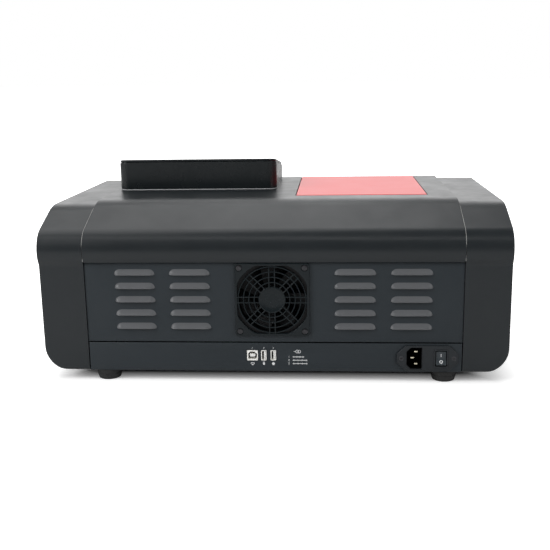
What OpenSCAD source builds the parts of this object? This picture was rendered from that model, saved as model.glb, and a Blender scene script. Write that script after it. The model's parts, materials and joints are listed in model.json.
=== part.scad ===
// Benchtop spectrophotometer: moulded case on a steel tray, hinged red sample lid, tilted
// touch display, cooling fan, mains inlet with rocker, and the optical train inside.
// Frame: +X to the operator's right, +Y to the rear, +Z up, origin on the table under the middle.

/* [Case] */
// Overall width across both side cheeks
case_w = 515; // [500:1:620]
// Depth of the case from the front nose to the rear nose
case_d = 420; // [415:1:510]
// Height of the flat top above the table
case_top = 195; // [185:1:235]
// Width of each side cheek
cheek_w = 50; // [40:1:60]
// Wall of the moulded covers
wall = 3; // [2.5:0.1:3.6]
// Thickness of the steel sheet
sheet = 1.2; // [0.8:0.1:1.5]
// Radius of the rounded front and rear noses
nose_r = 26; // [22:1:31]
// Height of the rear nose above the table
rear_nose_z = 148; // [140:1:150]
// Height of the front nose above the table
front_nose_z = 93; // [90:1:96]
// Slope of the rear of the top cover below horizontal
rear_slope = 22; // [20:1:26]
// Slope of the front of the top cover below horizontal
front_slope = 40; // [37:1:44]
// How far the top cover stands above the cheeks
cheek_drop = 3.5; // [2:0.1:5]
// Radius of the lower outer corner of each cheek
cheek_corner_r = 28; // [24:1:34]
// Gap at every shut line between moulded covers
joint_gap = 0.4; // [0.3:0.05:0.6]

/* [Rear panel] */
// Height of the seam between the tray and the rear panel
seam_z = 45.6; // [45:0.1:52]
// Clear gap at that seam
seam_gap = 1.2; // [0.8:0.1:1.6]
// Depth that the noses overhang the rear panel
rear_recess = 5.5; // [5:0.1:6.5]
// Length of one louvre without its round ends
louvre_len = 34; // [28:1:38]
// Radius of the louvre's hood
louvre_r = 8; // [7:0.1:8.6]
// How far the louvres stand out of the panel
louvre_out = 3.6; // [3:0.1:4.2]
// Distance between louvres in a column
louvre_pitch = 15.2; // [14.5:0.1:15.6]
// Distance from the top louvres to the panel's top edge
louvre_margin = 5.1; // [4:0.1:7]
// Number of louvres in a column
louvre_rows = 5; // [3:1:5]
// Distance of the inner louvre columns from the middle
louvre_col_near = 90.5; // [86:0.5:94]
// Distance of the outer louvre columns from the middle
louvre_col_far = 151.5; // [148:0.5:156]

/* [Fan] */
// Side of the square fan frame
fan_size = 80; // [72:1:81]
// Depth of the fan frame
fan_depth = 25; // [20:1:30]
// Distance between the fan's screws
fan_pitch = 71.5; // [64:0.5:72]
// Height of the fan's axis
fan_z = 94.4; // [93:0.1:94.5]
// Number of fan blades
fan_blades = 7; // [5:1:9]
// Running clearance between the fan shaft and its bearing
bearing_gap = 0.05; // [0.03:0.01:0.08]

/* [Power entry and ports] */
// Middle of the power entry module across the case
inlet_x = -169.5; // [-172:0.5:-150]
// Height of the middle of the power entry module
inlet_z = 28.6; // [28:0.1:29]
// Width of the power entry flange
inlet_w = 67; // [65:0.5:68]
// Height of the power entry flange
inlet_h = 29; // [28.5:0.1:29.4]
// Distance between the power entry screws
inlet_pitch = 57; // [56:0.5:58]
// Width of the rocker
rocker_w = 11.4; // [10.5:0.1:11.8]
// Height of the rocker
rocker_h = 17; // [16:0.1:18]
// Angle that the rocker tips from off to on
rocker_throw = 18; // [12:1:20]
// Height of the data ports
port_z = 30.6; // [29:0.1:32]

/* [Sample compartment] */
// Width of the sample lid
lid_w = 153; // [140:1:160]
// Middle of the lid across the case
lid_x = -99.5; // [-103:0.5:-95]
// Distance from the lid's rear edge to the rear nose
lid_back = 109; // [104:1:116]
// Distance from the lid's front edge to the front nose
lid_front = 22; // [18:1:26]
// Gap around the lid
lid_gap = 0.6; // [0.4:0.1:0.9]
// Radius of the barrel along the lid's rear edge
hinge_r = 5; // [4.6:0.1:5.4]
// Radius of the hinge pin
pin_r = 1.5; // [1.2:0.1:2]
// Depth of the sample compartment along the case
tub_d = 210; // [190:1:220]
// Height of the compartment floor above the table
tub_floor = 60; // [58:1:64]
// Wall of the compartment
tub_wall = 2.5; // [2:0.1:3]
// Side of the square wells that hold the cells
well = 12.7; // [12.6:0.1:13.2]
// Distance between the wells
well_pitch = 16; // [15.5:0.1:18]
// Number of wells in the carriage
well_count = 4; // [3:1:5]
// How far the pull knob stands in front of the case
knob_out = 14; // [12:1:18]
// Diameter of the pull rod
rod_d = 6; // [5:0.5:7]

/* [Display] */
// Width of the display housing
disp_w = 200; // [185:1:205]
// Depth of the display housing
disp_d = 130; // [120:1:140]
// Height of the display housing at its rear
disp_h_rear = 35; // [32:1:40]
// Height of the display housing at its front
disp_h_front = 18; // [16:1:22]
// Distance from the rear nose to the back of the display housing
disp_back = 171; // [165:1:176]
// Middle of the display housing across the case
disp_x = 104.5; // [100:0.5:110]
// Corner radius of the display housing
disp_r = 12; // [8:1:16]
// Width of the touch glass
glass_w = 176; // [165:1:180]
// Depth of the touch glass
glass_d = 108; // [100:1:114]

/* [Feet] */
// Height of the feet
foot_h = 12; // [10:0.5:14]
// Radius of the feet at the tray
foot_r = 14.5; // [12:0.5:17]
// Distance of the feet from the middle of the case
foot_x = 189; // [180:1:192]
// Distance of the front feet from the front nose
foot_in = 33; // [30:1:50]
// Distance of the rear feet from the rear nose
foot_in_rear = 20; // [18:1:36]

/* [Optics] */
// Height of the light beam above the table
beam_z = 86; // [84:0.5:90]
// Distance from the rear nose to the light beam
beam_back = 277; // [270:1:285]
// Thickness of the cast optical base
bench_t = 8; // [6:0.5:10]
// Height of the monochromator case
mono_h = 52; // [48:1:60]

/* [Hidden] */

$fn = 96;
eps = 0.01;

// Case planes
overall_d = case_d + knob_out;
rear_y = overall_d / 2;
front_y = rear_y - case_d;
centre_w = case_w - 2 * cheek_w;
cover_half = centre_w / 2 - joint_gap / 2;
rear_nose_y = rear_y - nose_r;
front_nose_y = front_y + nose_r;
nose_step = 1;
rear_low_y = rear_y - rear_recess + nose_step;
front_low_y = front_y + rear_recess - nose_step;
lip_drop = 12;
rear_skirt_z = rear_nose_z - lip_drop;
front_skirt_z = front_nose_z - lip_drop;
top_in = case_top - wall;
tall = case_top + 60;

// Tray and rear panel planes
tray_half = centre_w / 2 - 2 * joint_gap;
panel_y = rear_y - rear_recess;
tray_y = panel_y + 0.5;
tray_top = seam_z - seam_gap / 2;
panel_bottom = seam_z + seam_gap / 2;
panel_top = rear_skirt_z - joint_gap;
floor_z = foot_h + sheet;
flange = 8;
fascia_y = front_y + rear_recess;
fascia_in = fascia_y + wall;
tray_front = fascia_in;

// Lid and compartment planes
lid_rear_y = rear_y - lid_back;
lid_front_y = front_y + lid_front;
lid_half = lid_w / 2;
hinge_y = lid_rear_y - hinge_r;
hinge_z = case_top - hinge_r;
tub_half = lid_half - 6;
tub_rear = lid_front_y + 10 + tub_d;
tub_front = lid_front_y + 10;
seat = 0.3;
rim_h = 8;
deck_t = 3;
trough_z = hinge_z - hinge_r - 2;
beam_y = rear_y - beam_back;
rail_h = 6;
rail_w = 14;
carriage_floor = 4;
carriage_w = 26;
carriage_h = 30;
carriage_z = tub_floor + rail_h + seat;
carriage_len = well_count * well_pitch + 4;
carriage_front = beam_y - well_pitch / 2 - 2;
rod_axis_z = carriage_z + 5;
rod_r = rod_d / 2;
slide_gap = 0.05;

// Display plane
disp_y1 = rear_y - disp_back;
disp_y0 = disp_y1 - disp_d;
disp_tilt = atan((disp_h_rear - disp_h_front) / disp_d);
glass_t = 1.8;
lcd_t = 6;

// Optical planes
bench_top = tub_floor - tub_wall;
bench_z = bench_top - bench_t;
mono_x0 = lid_x + lid_half + 24;
mono_w = 150;
mono_y0 = beam_y - 62;
mono_d = 160;
mono_wall = 4;
mono_z = bench_top;
mono_top = mono_z + mono_h;
lamp_x = mono_x0 + mono_w - 34;
lamp_y0 = mono_y0 + mono_d + 24;
lamp_d = 84;
lamp_w = 118;
lamp_h = 72;
grating_x = mono_x0 + 64;
grating_y = mono_y0 + mono_d - 34;
spindle_r = 4;
pulley_big_r = 15;
pulley_small_r = 5;
pulley_span = 38;
pulley_z = bench_z - 9;

// Boards
board_t = 1.6;
board_z = floor_z + 6;

// A box between two corners, each axis given as [low, high].
module span(x, y, z) {
    translate([x[0], y[0], z[0]])
        cube([x[1] - x[0], y[1] - y[0], z[1] - z[0]]);
}

// Rods along each axis, from a low end to a high end.
module rod_x(x, y, z, r) {
    translate([x[0], y, z])
        rotate([0, 90, 0])
            cylinder(h = x[1] - x[0], r = r);
}

module rod_y(x, y, z, r) {
    translate([x, y[1], z])
        rotate([90, 0, 0])
            cylinder(h = y[1] - y[0], r = r);
}

module rod_z(x, y, z, r) {
    translate([x, y, z[0]])
        cylinder(h = z[1] - z[0], r = r);
}

// Extrude a side outline, drawn as Y and Z, along X.
module along_x(x) {
    translate([x[0], 0, 0])
        rotate([90, 0, 90])
            linear_extrude(x[1] - x[0])
                children();
}

// Extrude a rear outline, drawn as X and Z, along Y.
module along_y(y) {
    translate([0, y[1], 0])
        rotate([90, 0, 0])
            linear_extrude(y[1] - y[0])
                children();
}

module round_rect(w, d, r) {
    square([w - 2 * r, d], center = true);
    square([w, d - 2 * r], center = true);
    for (sx = [-1, 1], sy = [-1, 1])
        translate([sx * (w / 2 - r), sy * (d / 2 - r)])
            circle(r);
}

// Where the sloping top meets the flat top, for an outline drawn in by inset and down by drop.
function rear_crease(inset, drop) =
    rear_nose_y + (nose_r - inset - (case_top - drop - rear_nose_z) * cos(rear_slope)) / sin(rear_slope);
function front_crease(inset, drop) =
    front_nose_y - (nose_r - inset - (case_top - drop - front_nose_z) * cos(front_slope)) / sin(front_slope);

// Side outline of the case: two round noses joined by slopes and a flat top, filled down to the table.
module case_outline(inset, drop) {
    r = nose_r - inset;
    translate([rear_nose_y, rear_nose_z])
        circle(r);
    translate([front_nose_y, front_nose_z])
        circle(r);
    polygon([
        [front_nose_y, 0],
        [front_nose_y, front_nose_z],
        [front_nose_y - r * sin(front_slope), front_nose_z + r * cos(front_slope)],
        [front_crease(inset, drop), case_top - drop],
        [rear_crease(inset, drop), case_top - drop],
        [rear_nose_y + r * sin(rear_slope), rear_nose_z + r * cos(rear_slope)],
        [rear_nose_y, rear_nose_z],
        [rear_nose_y, 0]
    ]);
}

// A layer of the case skin between two insets.
module skin(outer, inner) {
    difference() {
        case_outline(outer, outer);
        case_outline(inner, inner);
        translate([0, -1])
            square([rear_y + 1, rear_skirt_z + 1]);
        translate([front_y - 1, -1])
            square([1 - front_y, front_skirt_z + 1]);
    }
}

// Side outline of a cheek: the case outline with a plain plate below the noses.
module cheek_outline(inset) {
    case_outline(inset, cheek_drop + inset);
    translate([front_low_y + inset, foot_h + inset])
        square([rear_low_y - front_low_y - 2 * inset, front_nose_z - foot_h - inset]);
    translate([0, foot_h + inset])
        square([rear_low_y - inset, rear_nose_z - foot_h - inset]);
}

// End outline of the right cheek, with its lower outer corner rounded.
module cheek_end(inset) {
    corner_x = case_w / 2 - cheek_corner_r;
    corner_z = foot_h + cheek_corner_r;
    translate([0, foot_h + inset])
        square([corner_x, tall]);
    translate([0, corner_z])
        square([case_w / 2 - inset, tall]);
    translate([corner_x, corner_z])
        circle(cheek_corner_r - inset);
}

cheek_in = centre_w / 2 + joint_gap / 2;
boss_spots = [
    [front_y + 50, foot_h + 28],
    [0, foot_h + 28],
    [rear_y - 60, foot_h + 28],
    [rear_y - 60, rear_nose_z - 45]
];
boss_r = 5;
cheek_screw_r = 1.6;
cheek_screw_depth = 12;

module cheek() {
    difference() {
        intersection() {
            along_x([cheek_in, case_w / 2])
                cheek_outline(0);
            along_y([front_y - 1, rear_y + 1])
                cheek_end(0);
        }
        intersection() {
            along_x([cheek_in - 1, case_w / 2])
                cheek_outline(wall);
            along_y([front_y - 1, rear_y + 1])
                cheek_end(wall);
        }
    }
    for (spot = boss_spots)
        difference() {
            rod_x([tray_half, case_w / 2 - wall], spot[0], spot[1], boss_r);
            rod_x([tray_half - 1, tray_half + cheek_screw_depth], spot[0], spot[1], cheek_screw_r);
        }
}

module right_cheek() {
    color("#232426")
        cheek();
}

module left_cheek() {
    color("#232426")
        mirror([1, 0, 0])
            cheek();
}

module cheek_screws() {
    head_x = tray_half - sheet;
    color("#55585c")
        for (side = [0, 1], spot = boss_spots)
            mirror([side, 0, 0])
                union() {
                    rod_x([head_x - 2, head_x], spot[0], spot[1], 3);
                    rod_x([head_x - 1, tray_half + cheek_screw_depth], spot[0], spot[1], cheek_screw_r);
                }
}

// Inlet and port places on the rear of the tray
inlet_body_w = inlet_w - 20;
inlet_body_h = inlet_h - 2.4;
inlet_plate = 2.2;
inlet_depth = 28;
inlet_screw_r = 1.5;
usb_b_x = 22.9;
usb_b_w = 12;
usb_a_w = 5.9;
usb_a_x = [10.3, -0.3];
usb_h = 11.6;
usb_proud = 0.6;
usb_depth = 15;
port_floor = port_z - usb_h / 2;
tray_side_top = rear_nose_z - 18;
front_lip_top = foot_h + 26;
foot_spots = [
    for (sx = [-1, 1], fy = [front_y + foot_in, rear_y - foot_in_rear]) [sx * foot_x, fy]
];
foot_screw_r = 2;
post_r = 5;
post_x = tray_half - sheet - 9;
post_spots = [
    [-post_x, beam_y - 60],
    [post_x, beam_y - 60],
    [-post_x, beam_y + 170],
    [post_x, beam_y + 170],
    [lid_x + tub_half - 10, beam_y - 60],
    [lid_x + tub_half - 10, beam_y + 100]
];

module inlet_outline(grow) {
    // Hexagonal flange: a block that tapers to its screws.
    half_w = inlet_w / 2 + grow;
    half_h = inlet_h / 2 + grow;
    polygon([
        [-half_w, -half_h / 3],
        [-inlet_body_w / 2, -half_h],
        [inlet_body_w / 2, -half_h],
        [half_w, -half_h / 3],
        [half_w, half_h / 3],
        [inlet_body_w / 2, half_h],
        [-inlet_body_w / 2, half_h],
        [-half_w, half_h / 3]
    ]);
}

module base_tray() {
    color("#2d3136")
        difference() {
            union() {
                span([-tray_half, tray_half], [tray_front, tray_y], [foot_h, floor_z]);
                span([-tray_half, tray_half], [tray_y - sheet, tray_y], [foot_h, tray_top]);
                span([-tray_half, tray_half], [tray_front, tray_front + sheet], [foot_h, front_lip_top]);
                for (side = [0, 1])
                    mirror([side, 0, 0])
                        along_x([tray_half - sheet, tray_half])
                            intersection() {
                                case_outline(wall + seat, wall + seat);
                                translate([tray_front, foot_h])
                                    square([panel_y - sheet - tray_front, tray_side_top - foot_h]);
                            }
            }
            translate([inlet_x, 0, inlet_z])
                span([-inlet_body_w / 2, inlet_body_w / 2], [tray_y - 5, tray_y + 1],
                    [-inlet_body_h / 2, inlet_body_h / 2]);
            for (side = [-1, 1])
                rod_y(inlet_x + side * inlet_pitch / 2, [tray_y - 5, tray_y + 1], inlet_z, inlet_screw_r);
            span([usb_b_x - usb_b_w / 2 - seat, usb_b_x + usb_b_w / 2 + seat], [tray_y - 5, tray_y + 1],
                [port_floor - seat, port_floor + usb_h + seat]);
            for (x = usb_a_x)
                span([x - usb_a_w / 2 - seat, x + usb_a_w / 2 + seat], [tray_y - 5, tray_y + 1],
                    [port_floor - seat, port_floor + usb_h + seat]);
            for (spot = boss_spots, side = [0, 1])
                mirror([side, 0, 0])
                    rod_x([tray_half - 5, tray_half + 1], spot[0], spot[1], cheek_screw_r);
            for (spot = foot_spots)
                rod_z(spot[0], spot[1], [0, floor_z + 1], foot_screw_r);
        }
}

module rubber_feet() {
    taper = 4;
    color("#141414")
        for (spot = foot_spots)
            translate([spot[0], spot[1], 0])
                rotate_extrude()
                    difference() {
                        polygon([
                            [0, 0],
                            [foot_r - taper, 0],
                            [foot_r - taper / 4, taper],
                            [foot_r, foot_h],
                            [0, foot_h]
                        ]);
                        square([foot_screw_r, foot_h]);
                        square([foot_screw_r * 2.2, foot_h / 2]);
                    }
}

module foot_screws() {
    head_top = foot_h / 2;
    color("#777777")
        for (spot = foot_spots)
            translate([spot[0], spot[1], 0])
                union() {
                    rod_z(0, 0, [head_top - 3, head_top], foot_screw_r * 2);
                    rod_z(0, 0, [head_top - 1, floor_z + 1.5], foot_screw_r);
                }
}

// Louvre hoods: half-round bars with quarter-sphere ends, hollow and open below.
module hood(grow) {
    r = louvre_r + grow;
    intersection() {
        union() {
            rod_x([-louvre_len / 2, louvre_len / 2], 0, 0, r);
            for (end = [-1, 1])
                translate([end * louvre_len / 2, 0, 0])
                    sphere(r);
        }
        span([-louvre_len, louvre_len], [louvre_r - louvre_out, 2 * louvre_r], [0, 2 * louvre_r]);
    }
}

module louvre_place(column, row) {
    bottom_z = panel_top - louvre_margin - louvre_r - row * louvre_pitch;
    translate([column, panel_y - louvre_r + louvre_out, bottom_z])
        children();
}

louvre_columns = [-louvre_col_far, -louvre_col_near, louvre_col_near, louvre_col_far];
fan_bore = fan_size / 2 - 2;
fan_screw_r = 2;
fan_back_y = panel_y - sheet;
fan_front_y = fan_back_y - fan_depth;

module rear_panel() {
    edge = cover_half;
    color("#30343a")
        difference() {
            union() {
                span([-edge, edge], [panel_y - sheet, panel_y], [panel_bottom, panel_top]);
                for (side = [0, 1])
                    mirror([side, 0, 0])
                        span([tray_half - 2 * sheet, tray_half - sheet], [panel_y - sheet - flange, panel_y],
                            [panel_bottom + 2, tray_side_top - 4]);
                for (column = louvre_columns, row = [0:louvre_rows - 1])
                    louvre_place(column, row)
                        hood(0);
            }
            for (column = louvre_columns, row = [0:louvre_rows - 1])
                louvre_place(column, row)
                    translate([0, -2 * sheet, -1])
                        hood_air();
            rod_y(0, [panel_y - 3, panel_y + 3], fan_z, fan_bore);
            for (sx = [-1, 1], sz = [-1, 1])
                rod_y(sx * fan_pitch / 2, [panel_y - 3, panel_y + 3], fan_z + sz * fan_pitch / 2, fan_screw_r);
        }
}

// The air space inside a louvre hood.
module hood_air() {
    r = louvre_r - sheet;
    intersection() {
        translate([0, 2 * sheet, 0])
            union() {
                rod_x([-louvre_len / 2, louvre_len / 2], 0, 0, r);
                for (end = [-1, 1])
                    translate([end * louvre_len / 2, 0, 0])
                        sphere(r);
            }
        span([-louvre_len, louvre_len], [0, 2 * louvre_r], [-1, 2 * louvre_r]);
    }
}

module top_cover() {
    color("#232426")
        difference() {
            along_x([-cover_half, cover_half])
                skin(0, wall);
            span([lid_x - lid_half - lid_gap, lid_x + lid_half + lid_gap],
                [lid_front_y - lid_gap, lid_rear_y + lid_gap], [front_skirt_z, tall]);
            span([disp_x - 15, disp_x + 15], [disp_y0 + disp_d / 2 - 5, disp_y0 + disp_d / 2 + 5],
                [top_in - 1, case_top + 1]);
        }
}

bush_r = 6;

module front_fascia() {
    color("#26282b")
        difference() {
            span([-cover_half, cover_half], [fascia_y, fascia_in], [foot_h, front_skirt_z - joint_gap]);
            rod_y(lid_x, [fascia_y - 1, fascia_in + 1], rod_axis_z, bush_r);
        }
}

// Guard bars
guard_t = 2.6;
guard_w = fan_size + 2;
guard_rings = 4;
guard_hub_r = 15;
guard_bar = 1.6;

// Outline of the guard: a square plate, rings round a hub, and pairs of spokes.
module guard_outline() {
    ring_step = (fan_bore - guard_hub_r) / (guard_rings + 0.5);
    difference() {
        union() {
            difference() {
                square(guard_w, center = true);
                circle(fan_bore);
            }
            circle(guard_hub_r);
            for (n = [1:guard_rings])
                difference() {
                    circle(guard_hub_r + n * ring_step);
                    circle(guard_hub_r + n * ring_step - guard_bar);
                }
            for (turn = [0:45:315], side = [-1, 1])
                rotate(turn)
                    translate([side * 3 - guard_bar / 2, guard_hub_r - 1])
                        square([guard_bar, fan_bore + 1.5 - guard_hub_r]);
        }
        for (sx = [-1, 1], sz = [-1, 1])
            translate([sx, sz] * fan_pitch / 2)
                circle(fan_screw_r);
    }
}

module fan_guard() {
    color("#1b1c1e")
        translate([0, 0, fan_z])
            along_y([panel_y, panel_y + guard_t])
                guard_outline();
}

fan_shaft_r = 2;
fan_hub_r = 16;
strut_t = 4;

// Outline of the fan's square duct, with or without the struts that hold its bearing.
module duct_outline(struts) {
    difference() {
        union() {
            difference() {
                square(fan_size, center = true);
                circle(fan_bore);
            }
            if (struts)
                circle(fan_hub_r);
            if (struts)
                for (turn = [45:90:315])
                    rotate(turn)
                        translate([-2, fan_hub_r - 1])
                            square([4, fan_bore + 1.5 - fan_hub_r]);
        }
        for (sx = [-1, 1], sz = [-1, 1])
            translate([sx, sz] * fan_pitch / 2)
                circle(fan_screw_r);
    }
}

module fan_frame() {
    color("#1d1d1f")
        translate([0, 0, fan_z])
            difference() {
                union() {
                    along_y([fan_front_y, fan_front_y + strut_t])
                        duct_outline(true);
                    along_y([fan_front_y + strut_t - 1, fan_back_y])
                        duct_outline(false);
                }
                rod_y(0, [fan_front_y + 1, fan_back_y + 1], 0, fan_shaft_r + bearing_gap);
            }
}

module fan_rotor() {
    hub_y = [fan_front_y + strut_t + seat, fan_back_y - 2];
    blade_y = (hub_y[0] + hub_y[1]) / 2;
    color("#161618")
        union() {
            rod_y(0, hub_y, fan_z, fan_hub_r);
            rod_y(0, [fan_front_y + 1.5, hub_y[1]], fan_z, fan_shaft_r);
            intersection() {
                rod_y(0, [hub_y[0] + 0.5, hub_y[1] - 0.5], fan_z, fan_bore - 1.2);
                for (n = [0:fan_blades - 1])
                    translate([0, blade_y, fan_z])
                        rotate([0, n * 360 / fan_blades, 0])
                            rotate([0, 0, 38])
                                translate([-1, -13, fan_hub_r - 2])
                                    cube([2, 26, fan_bore]);
            }
        }
}

module fan_screws() {
    color("#3a3a3c")
        for (sx = [-1, 1], sz = [-1, 1])
            translate([sx * fan_pitch / 2, 0, fan_z + sz * fan_pitch / 2])
                union() {
                    rod_y(0, [panel_y + guard_t, panel_y + guard_t + 1.8], 0, 3.4);
                    rod_y(0, [fan_front_y + 4, panel_y + guard_t + 1], 0, fan_screw_r);
                }
}

// Power entry
socket_dx = 14.4;
socket_w = 16.6;
socket_h = 24.2;
socket_deep = 17;
rocker_dx = -14.7;
rocker_y = tray_y + inlet_plate - 3;
rocker_half = rocker_h / 2;
trunnion_r = 1.5;
pin_w = 4;
pin_t = 2;
pin_row = 7;

module socket_outline() {
    chamfer = 4.5;
    polygon([
        [-socket_w / 2, -socket_h / 2],
        [socket_w / 2 - chamfer, -socket_h / 2],
        [socket_w / 2, -socket_h / 2 + chamfer],
        [socket_w / 2, socket_h / 2 - chamfer],
        [socket_w / 2 - chamfer, socket_h / 2],
        [-socket_w / 2, socket_h / 2]
    ]);
}

module pin_solids() {
    floor_y = tray_y + inlet_plate - socket_deep;
    for (place = [[-2, -pin_row], [-2, pin_row], [2, 0]])
        translate([inlet_x + socket_dx + place[0], 0, inlet_z + place[1]])
            span([-pin_w / 2, pin_w / 2], [tray_y - inlet_depth - 7, floor_y + 14], [-pin_t / 2, pin_t / 2]);
}

module power_inlet() {
    face_y = tray_y + inlet_plate;
    color("#17181a")
        difference() {
            translate([inlet_x, 0, inlet_z]) {
                along_y([tray_y, face_y])
                    inlet_outline(0);
                span([-inlet_body_w / 2, inlet_body_w / 2], [tray_y - inlet_depth, tray_y + 1],
                    [-inlet_body_h / 2, inlet_body_h / 2]);
            }
            translate([inlet_x + socket_dx, 0, inlet_z])
                along_y([face_y - socket_deep, face_y + 1])
                    socket_outline();
            translate([inlet_x + rocker_dx, 0, inlet_z])
                span([-rocker_w / 2 - seat, rocker_w / 2 + seat], [rocker_y - rocker_half, face_y + 1],
                    [-rocker_half - seat, rocker_half + seat]);
            rod_x([inlet_x + rocker_dx - rocker_w / 2 - 1.6, inlet_x + rocker_dx + rocker_w / 2 + 1.6],
                rocker_y, inlet_z, trunnion_r + slide_gap);
            for (side = [-1, 1])
                rod_y(inlet_x + side * inlet_pitch / 2, [tray_y - 1, face_y + 1], inlet_z, inlet_screw_r);
            pin_solids();
        }
}

module inlet_pins() {
    color("#c9c9c4")
        pin_solids();
}

module power_rocker() {
    dish = 2.4;
    rise = rocker_half * tan(rocker_throw / 2 + 3);
    color("#1a1b1d")
        translate([inlet_x + rocker_dx, rocker_y, inlet_z])
            rotate([rocker_throw / 2, 0, 0])
                union() {
                    intersection() {
                        rod_x([-rocker_w / 2, rocker_w / 2], 0, 0, rocker_half);
                        along_x([-rocker_w / 2, rocker_w / 2])
                            polygon([
                                [-rocker_half / 2, -rocker_half],
                                [dish + rise, -rocker_half],
                                [dish, 0],
                                [dish + rise, rocker_half],
                                [-rocker_half / 2, rocker_half]
                            ]);
                    }
                    rod_x([-rocker_w / 2 - 1.4, rocker_w / 2 + 1.4], 0, 0, trunnion_r);
                }
}

module inlet_screws() {
    face_y = tray_y + inlet_plate;
    color("#4a4c50")
        for (side = [-1, 1])
            translate([inlet_x + side * inlet_pitch / 2, 0, inlet_z])
                union() {
                    rod_y(0, [face_y, face_y + 1.4], 0, 2.9);
                    rod_y(0, [tray_y - 7, face_y + 1], 0, inlet_screw_r);
                }
}

// A metal shell around a plastic tongue.
module usb_shell(x, w, tongue_w, tongue_h) {
    face_y = tray_y + usb_proud;
    shell = 0.5;
    mid_z = port_floor + usb_h / 2;
    difference() {
        span([x - w / 2, x + w / 2], [face_y - usb_depth, face_y], [port_floor, port_floor + usb_h]);
        span([x - w / 2 + shell, x + w / 2 - shell], [face_y - 10, face_y + 1],
            [port_floor + shell, port_floor + usb_h - shell]);
    }
    span([x - tongue_w / 2, x + tongue_w / 2], [face_y - 10 - eps, face_y - 1],
        [mid_z - tongue_h / 2, mid_z + tongue_h / 2]);
}

module usb_b_socket() {
    color("#c8c8c6")
        usb_shell(usb_b_x, usb_b_w, 5.6, 3.2);
}

module usb_a_sockets() {
    color("#c8c8c6")
        for (x = usb_a_x)
            usb_shell(x, usb_a_w, 1.8, 8);
}

port_board_x = [-22, 42];
port_board_y = [tray_y - 42, tray_y - sheet - 1];
main_board_x = [-40, 110];
main_board_y = [beam_y + 118, beam_y + 210];
hole_in = 5;

function board_corners(xs, ys) =
    [for (x = [xs[0] + hole_in, xs[1] - hole_in], y = [ys[0] + hole_in, ys[1] - hole_in]) [x, y]];

module port_board() {
    color("#2e5c3a")
        union() {
            span(port_board_x, port_board_y, [port_floor - board_t, port_floor]);
            span([port_board_x[0] + 8, port_board_x[0] + 30], [port_board_y[0] + 4, port_board_y[0] + 9],
                [port_floor - eps, port_floor + 6]);
        }
}

module main_board() {
    top = board_z + board_t;
    x0 = main_board_x[0];
    y0 = main_board_y[0];
    color("#2e5c3a")
        union() {
            span(main_board_x, main_board_y, [board_z, top]);
            span([x0 + 20, x0 + 48], [y0 + 30, y0 + 58], [board_z, top + 2.4]);
            span([x0 + 70, x0 + 84], [y0 + 34, y0 + 54], [board_z, top + 2.8]);
            for (n = [0:3])
                span([x0 + 14 + n * 24, x0 + 32 + n * 24], [y0 + 12, y0 + 18], [board_z, top + 8]);
            for (n = [0:4])
                rod_z(x0 + 100 + (n % 2) * 14, y0 + 26 + n * 12, [board_z, top + 12], 5);
        }
}

module board_standoffs() {
    color("#b59a55") {
        for (spot = board_corners(main_board_x, main_board_y))
            rod_z(spot[0], spot[1], [floor_z, board_z], 3);
        for (spot = board_corners(port_board_x, port_board_y))
            rod_z(spot[0], spot[1], [floor_z, port_floor - board_t], 3);
    }
}

supply_h = 30;
supply_x = [-190, lid_x + 4];
supply_y = [beam_y + 118, beam_y + 218];
lamp_supply_y = [beam_y - 20, beam_y + 80];

// A vented sheet-metal box.
module vented_box(xs, ys, h) {
    mid_y = (ys[0] + ys[1]) / 2;
    difference() {
        span(xs, ys, [floor_z, floor_z + h]);
        span([xs[0] + sheet, xs[1] - sheet], [ys[0] + sheet, ys[1] - sheet],
            [floor_z + sheet, floor_z + h - sheet]);
        for (x = [xs[0] + 12:9:xs[1] - 12])
            span([x - 2, x + 2], [mid_y - 32, mid_y + 32], [floor_z + h - 2 * sheet, floor_z + h + 1]);
    }
}

module power_supply() {
    color("#a9adb0")
        vented_box(supply_x, supply_y, supply_h);
}

module lamp_supply() {
    color("#a9adb0")
        vented_box(supply_x, lamp_supply_y, supply_h);
}

// Lid, hinged at the barrel along its rear edge
ear_w = 6;
ear_r = 3;
ear_neck = 2.5;
ear_dx = lid_half - 22;
skirt_t = 2;
skirt_h = 6;
lid_well = tub_half - tub_wall;

module sample_lid() {
    skirt_x = lid_well - 1.5;
    color("#c4161c")
        difference() {
            union() {
                intersection() {
                    along_x([lid_x - lid_half, lid_x + lid_half])
                        skin(0, wall);
                    span([lid_x - lid_half, lid_x + lid_half], [lid_front_y, hinge_y], [front_nose_z, tall]);
                }
                rod_x([lid_x - lid_half, lid_x + lid_half], hinge_y, hinge_z, hinge_r);
                for (side = [-1, 1])
                    intersection() {
                        along_x([lid_x + side * (skirt_x - skirt_t / 2) - skirt_t / 2,
                            lid_x + side * (skirt_x - skirt_t / 2) + skirt_t / 2])
                            skin(wall - 1, wall + skirt_h);
                        span([lid_x - lid_half, lid_x + lid_half],
                            [tub_front + tub_wall + 1.5, tub_rear - tub_wall - 1.5], [front_nose_z, tall]);
                    }
            }
            rod_x([lid_x - lid_half - 1, lid_x + lid_half + 1], hinge_y, hinge_z, pin_r + slide_gap);
            for (side = [-1, 1])
                translate([lid_x + side * ear_dx, hinge_y, hinge_z]) {
                    rod_x([-ear_w / 2 - 0.4, ear_w / 2 + 0.4], 0, 0, ear_r + 0.4);
                    span([-ear_w / 2 - 0.4, ear_w / 2 + 0.4], [-ear_neck - 0.4, hinge_r + 1],
                        [-hinge_r - 1, ear_neck + 0.4]);
                }
        }
}

module lid_grip() {
    grip_w = 70;
    grip_t = 5;
    color("#1c1c1e")
        intersection() {
            along_x([lid_x - grip_w / 2, lid_x + grip_w / 2])
                difference() {
                    case_outline(-grip_t, -grip_t);
                    case_outline(0, 0);
                }
            span([lid_x - grip_w / 2, lid_x + grip_w / 2],
                [lid_front_y + 10, lid_front_y + 19], [front_nose_z, tall]);
        }
}

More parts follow.
